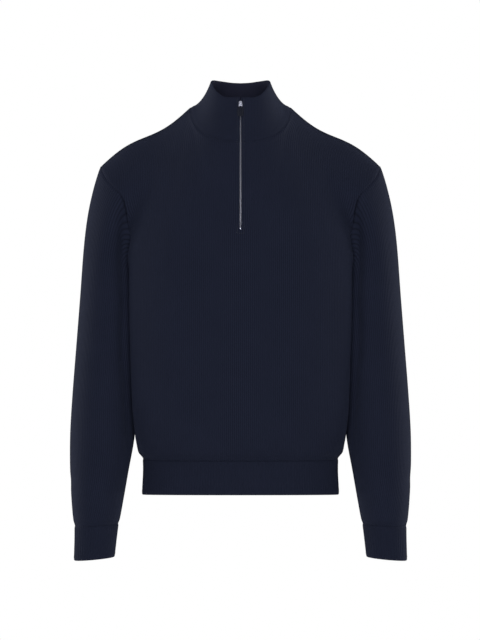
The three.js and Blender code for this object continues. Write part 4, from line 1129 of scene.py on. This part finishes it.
def alongPath(name, points, item, spacing, finish, aside=0.0, closed=False):
    count = len(points)
    edges = [(k, (k + 1) % count) for k in range(count if closed else count - 1)]
    mesh = bpy.data.meshes.new(name)
    mesh.from_pydata((points * mm).tolist(), edges, [])
    piece = bpy.data.objects.new(name, mesh)
    scene.collection.objects.link(piece)
    applyTree(piece, repeated, {"Spacing": spacing * mm, "Aside": aside * mm, "Item": item, "Finish": finish})
    return piece


def evenPath(points, step):
    points = np.asarray(points, float)
    far = np.concatenate([[0], np.cumsum(np.linalg.norm(np.diff(points, axis=0), axis=1))])
    goals = np.linspace(0, far[-1], int(far[-1] / step) + 1)
    return np.stack([np.interp(goals, far, points[:, k]) for k in range(points.shape[1])], -1)


# The closed rows of teeth lie deeper in the slit near the slider, where the cloth's edges almost meet.
chainZ = np.linspace(opening["end"] + zipSizes["stopRoom"], zipSizes["top"], 220)
chainOn, chainWay = onFront(chainZ, 0.0)
rising = ease((zipSizes["risesFrom"] - chainZ) / zipSizes["risesOver"])
depth = mix(zipSizes["topDepth"], zipSizes["footDepth"], rising)
depth = depth + zipSizes["tuck"] * (1 - ease((chainZ - chainZ[0]) / zipSizes["tuckHeight"]))
tooth = toothItem()
made["zipTeethMetal"] = alongPath("zipTeethMetal", chainOn - chainWay * depth[:, None], tooth,
                                  zipSizes["pitch"], zipMetal, zipSizes["aside"])
bpy.data.objects.remove(tooth)


def tapePiece(name, side):
    z, x = np.meshgrid(np.linspace(tapeSizes["end"], tapeSizes["top"], tapeSizes["rows"]),
                       np.linspace(tapeSizes["inner"], tapeSizes["outer"], tapeSizes["columns"]),
                       indexing="ij")
    rows, ways = onFront(z, x)
    behind = np.where(z < -neck["frontDrop"], thick["body"], thick["collar"]) + tapeSizes["gap"]
    rows = rows - ways * behind[..., None]
    if side < 0:
        rows, ways, x, z = mirrored(rows)[:, ::-1], mirrored(ways)[:, ::-1], x[:, ::-1], z[:, ::-1]
    piece = {"rows": rows, "directions": ways, "around": False, "wall": thick["tape"],
             "uv": np.stack([x, z], -1), "relief": 0 * x}
    return meshPiece(name, *shellPiece(piece, roundOver=True, roundUnder=True), [zipTapeWeave])


made["leftTapeWeave"], made["rightTapeWeave"] = tapePiece("leftTapeWeave", 1), tapePiece("rightTapeWeave", -1)

# The stops grip the tapes behind the edges of the cloth.
stopSizes = {"top": 6.1, "high": 2.4, "inner": 1.0, "outer": 3.5, "near": 2.4, "far": 4.4,
             "footHalf": 1.3, "footNear": 1.3, "footFar": 3.3}


def stopShape(left, right, near, far):
    outline = [(left, 0), (right, 0), (right, stopSizes["high"]), (left, stopSizes["high"])]
    return [bevelled(rounded(outline, [0.5] * 4, 3), near, far, 0.3)]


for name, side in (("leftTopStopMetal", 1), ("rightTopStopMetal", -1)):
    span = sorted((side * stopSizes["inner"], side * stopSizes["outer"]))
    made[name] = hardPiece(name, stopSizes["top"],
                           stopShape(*span, stopSizes["near"], stopSizes["far"]), zipMetal)
made["bottomStopMetal"] = hardPiece("bottomStopMetal", opening["end"] + 0.3, stopShape(
    -stopSizes["footHalf"], stopSizes["footHalf"], stopSizes["footNear"], stopSizes["footFar"]), zipMetal)


def sliderShapes():
    s = sliderSizes
    end = s["height"] / 2
    plate = rounded(bothSides([(s["footHalf"], -end), (s["shoulderHalf"], end - s["waist"]),
                               (s["shoulderHalf"], end - s["crown"]), (s["crownHalf"], end)]), [1.0] * 8)
    nub = rounded(bothSides([(s["neckHalf"], end - s["neckHeight"]), (s["neckHalf"], end - 0.2)]),
                  [0.3] * 4, 3)
    arch = s["face"] - s["bridgeRoom"] - s["bridgeBar"] / 2
    low, high = s["bridgeFoot"] + s["bridgeBar"] / 2, s["bridgeTop"] - s["bridgeBar"] / 2
    bend = rounded([(s["face"] + 0.2, low), (arch, low), (arch, high), (s["face"] + 0.2, high)],
                   [0, 1.3, 1.3, 0])
    bridge = np.insert(bend, 0, 0, axis=1)
    return [
        bevelled(plate, s["face"], s["face"] + s["plate"], 0.35),
        bevelled(plate, s["back"], s["back"] + s["plate"], 0.35),
        bevelled(nub, s["face"] + s["plate"] - 0.2, s["back"] + 0.2, 0.1, 1),
        swept(bridge, (1, 0, 0), (s["bridgeBar"] / 2, s["bridgeHalf"]), 16, square=3.0),
    ]


def loopShapes():
    p = pullSizes
    corners = bothSides([(p["loopHalf"], p["hinge"] - p["loopLength"]), (p["loopHalf"], p["hinge"])])
    wire = np.insert(rounded(corners, [p["loopCorner"]] * 4), 1, p["depth"], axis=1)
    return [swept(wire, (0, 1, 0), (p["wire"], p["wire"]), 14, closed=True)]


def tabOutline(inset):
    p = pullSizes
    top = p["hinge"] - p["loopLength"] - p["drop"] - inset
    foot = p["hinge"] - p["loopLength"] - p["drop"] - p["tabLength"] + inset
    half = p["tabHalf"] - inset
    footRadius, topRadius = p["footRound"] - inset, p["topRound"] - inset / 2
    radii = [footRadius, topRadius, topRadius, footRadius]
    return rounded(bothSides([(half, foot), (half, top)]), radii, 8)


def tabShapes():  # a leather tab, with a strip that is turned round the foot of the loop
    p = pullSizes
    near, far = p["depth"] - p["tabThick"] / 2, p["depth"] + p["tabThick"] / 2
    foot, middle = p["hinge"] - p["loopLength"], 1.08
    turn = np.radians(np.linspace(-20, 200, 14))
    bend = np.stack([p["depth"] + middle * np.cos(turn), foot + middle * np.sin(turn)], -1)
    strip = np.concatenate([[(p["depth"] + 0.25, foot - 2.6)], bend, [(p["depth"] - 0.25, foot - 2.6)]])
    return [bevelled(tabOutline(0), near, far, 0.5),
            swept(np.insert(strip, 0, 0, axis=1), (1, 0, 0), (0.27, p["rollHalf"]), 16, square=5.0)]


made["zipSliderMetal"] = hardPiece("zipSliderMetal", sliderSizes["middle"], sliderShapes(), zipMetal)
made["pullLoopMetal"] = hardPiece("pullLoopMetal", sliderSizes["middle"], loopShapes(), zipMetal)
made["pullTabLeather"] = hardPiece("pullTabLeather", sliderSizes["middle"], tabShapes(), pullLeather)

# Stitches round the tab, and beside the zip and under its foot
tabStitch = stitchItem(1.35, 0.2)
tabFace = pullSizes["depth"] - pullSizes["tabThick"] / 2 - 0.05
around = np.insert(tabOutline(pullSizes["stitchIn"]), 1, tabFace, axis=1)
around = evenPath(np.concatenate([around, around[:1]]), 0.4)[:-1]
made["pullTabThread"] = alongPath("pullTabThread", standing(sliderSizes["middle"], around), tabStitch,
                                  1.9, threadTwist, closed=True)
bpy.data.objects.remove(tabStitch)

zipStitch = stitchItem(2.5, 0.26)
away, below = placket["stitchAway"], opening["end"] - 6
stitchLine = rounded([(away, 8.0), (away, below), (-away, below), (-away, 8.0)], [0, 2, 2, 0])
stitchLine = evenPath(stitchLine, 1.0)
stitchOn, stitchWay = onFront(stitchLine[:, 1], stitchLine[:, 0])
made["zipTopstitchThread"] = alongPath("zipTopstitchThread", stitchOn + stitchWay * 0.02, zipStitch, 3.4,
                                       threadTwist)
bpy.data.objects.remove(zipStitch)
print("zip, slider and pull are made:", len(made["zipTeethMetal"].data.polygons), "faces of teeth")

# What each piece rides on, and the CAD parts that it hides

carried = {  # piece: its body, the CAD nodes that it stands for and its slot
    "frontPanelKnit": ("garment", ["front_panel"], "body_knit"),
    "backPanelKnit": ("garment", ["back_panel"], "body_knit"),
    "leftSleeveKnit": ("garment", ["sleeve_left"], "body_knit"),
    "rightSleeveKnit": ("garment", ["sleeve_right"], "body_knit"),
    "collarKnit": ("garment", ["collar"], "body_knit"),
    "frontHemRib": ("garment", ["hem_front"], "rib_knit"),
    "backHemRib": ("garment", ["hem_back"], "rib_knit"),
    "leftCuffRib": ("garment", ["cuff_left"], "rib_knit"),
    "rightCuffRib": ("garment", ["cuff_right"], "rib_knit"),
    "leftTapeWeave": ("garment", ["zip_tape_left"], "zip_tape"),
    "rightTapeWeave": ("garment", ["zip_tape_right"], "zip_tape"),
    "zipTeethMetal": ("garment", ["zip_chain"], "zip_metal"),
    "leftTopStopMetal": ("garment", ["zip_top_stop_left"], "zip_metal"),
    "rightTopStopMetal": ("garment", ["zip_top_stop_right"], "zip_metal"),
    "bottomStopMetal": ("garment", ["zip_bottom_stop"], "zip_metal"),
    "zipSliderMetal": ("garment", ["zip_slider"], "zip_metal"),
    "zipTopstitchThread": ("garment", [], "body_knit"),
    "pullLoopMetal": ("pull", ["pull_loop"], "zip_metal"),
    "pullTabLeather": ("pull", ["pull_tab"], "pull_leather"),
    "pullTabThread": ("pull", [], "pull_leather"),
}
for name, (body, nodes, slotName) in carried.items():
    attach(made[name], body)
    if nodes:
        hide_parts(*nodes)

# Floor, light and camera

stageLook = {"floor": -1.48, "size": 3.0, "paleness": rgb(0.86, 0.86, 0.86)}
floorMesh = bpy.data.meshes.new("paleFloor")
half = stageLook["size"] / 2
floorMesh.from_pydata([(-half, -half, stageLook["floor"]), (half, -half, stageLook["floor"]),
                       (half, half, stageLook["floor"]), (-half, half, stageLook["floor"])], [],
                      [(0, 1, 2, 3)])
floor = bpy.data.objects.new("paleFloor", floorMesh)
scene.collection.objects.link(floor)
floorMaterial, floorTree = newMaterial("paleFloor")
finishMaterial(floorTree, {"Base Color": stageLook["paleness"], "Roughness": 0.9})
floorMesh.materials.append(floorMaterial)

world = bpy.data.worlds.new("whiteStudio")
scene.world = world
world.use_nodes = True
worldTree = world.node_tree
worldTree.nodes.clear()
seen = node(worldTree, "ShaderNodeLightPath", {}, {}, 0)
strength = seen * 0.88 + 0.12
sky = node(worldTree, "ShaderNodeBackground", {}, {"Color": rgb(1, 1, 1), "Strength": strength})
node(worldTree, "ShaderNodeOutputWorld", {}, {"Surface": sky})

lights = {  # place, what it looks at, size and power
    "topSoftbox": ((0.0, -1.2, 2.2), (0, 0, -0.2), (2.4, 1.6), 17),
    "frontSoftbox": ((0.0, -4.2, -0.15), (0, 0, -0.35), (2.6, 2.6), 142),
    "leftSoftbox": ((-2.3, 0.95, -0.1), (0, 0, -0.35), (1.5, 2.4), 42),
    "rightSoftbox": ((2.3, 0.95, -0.1), (0, 0, -0.35), (1.5, 2.4), 42),
}
for name, (place, target, size, power) in lights.items():
    data = bpy.data.lights.new(name, "AREA")
    data.shape, data.size, data.size_y, data.energy = "RECTANGLE", *size, power
    light = bpy.data.objects.new(name, data)
    light.location = place
    way = np.array(target, float) - np.array(place, float)
    light.rotation_euler = Vector(way).to_track_quat("-Z", "Y").to_euler()
    scene.collection.objects.link(light)

cameraLook = {"away": 5.5, "x": -0.00085, "z": -0.3621, "frameHeight": 1.088, "sensor": 36.0}
cameraData = bpy.data.cameras.new("studioCamera")
cameraData.sensor_width = cameraLook["sensor"]
cameraData.lens = cameraLook["sensor"] * cameraLook["away"] / cameraLook["frameHeight"]
cameraData.clip_end = 50
camera = bpy.data.objects.new("studioCamera", cameraData)
camera.location = (cameraLook["x"], -cameraLook["away"], cameraLook["z"])
camera.rotation_euler = (math.pi / 2, 0, 0)
scene.collection.objects.link(camera)
scene.camera = camera
scene.view_settings.view_transform = "Standard"
scene.view_settings.look = "None"
print("stage is set")
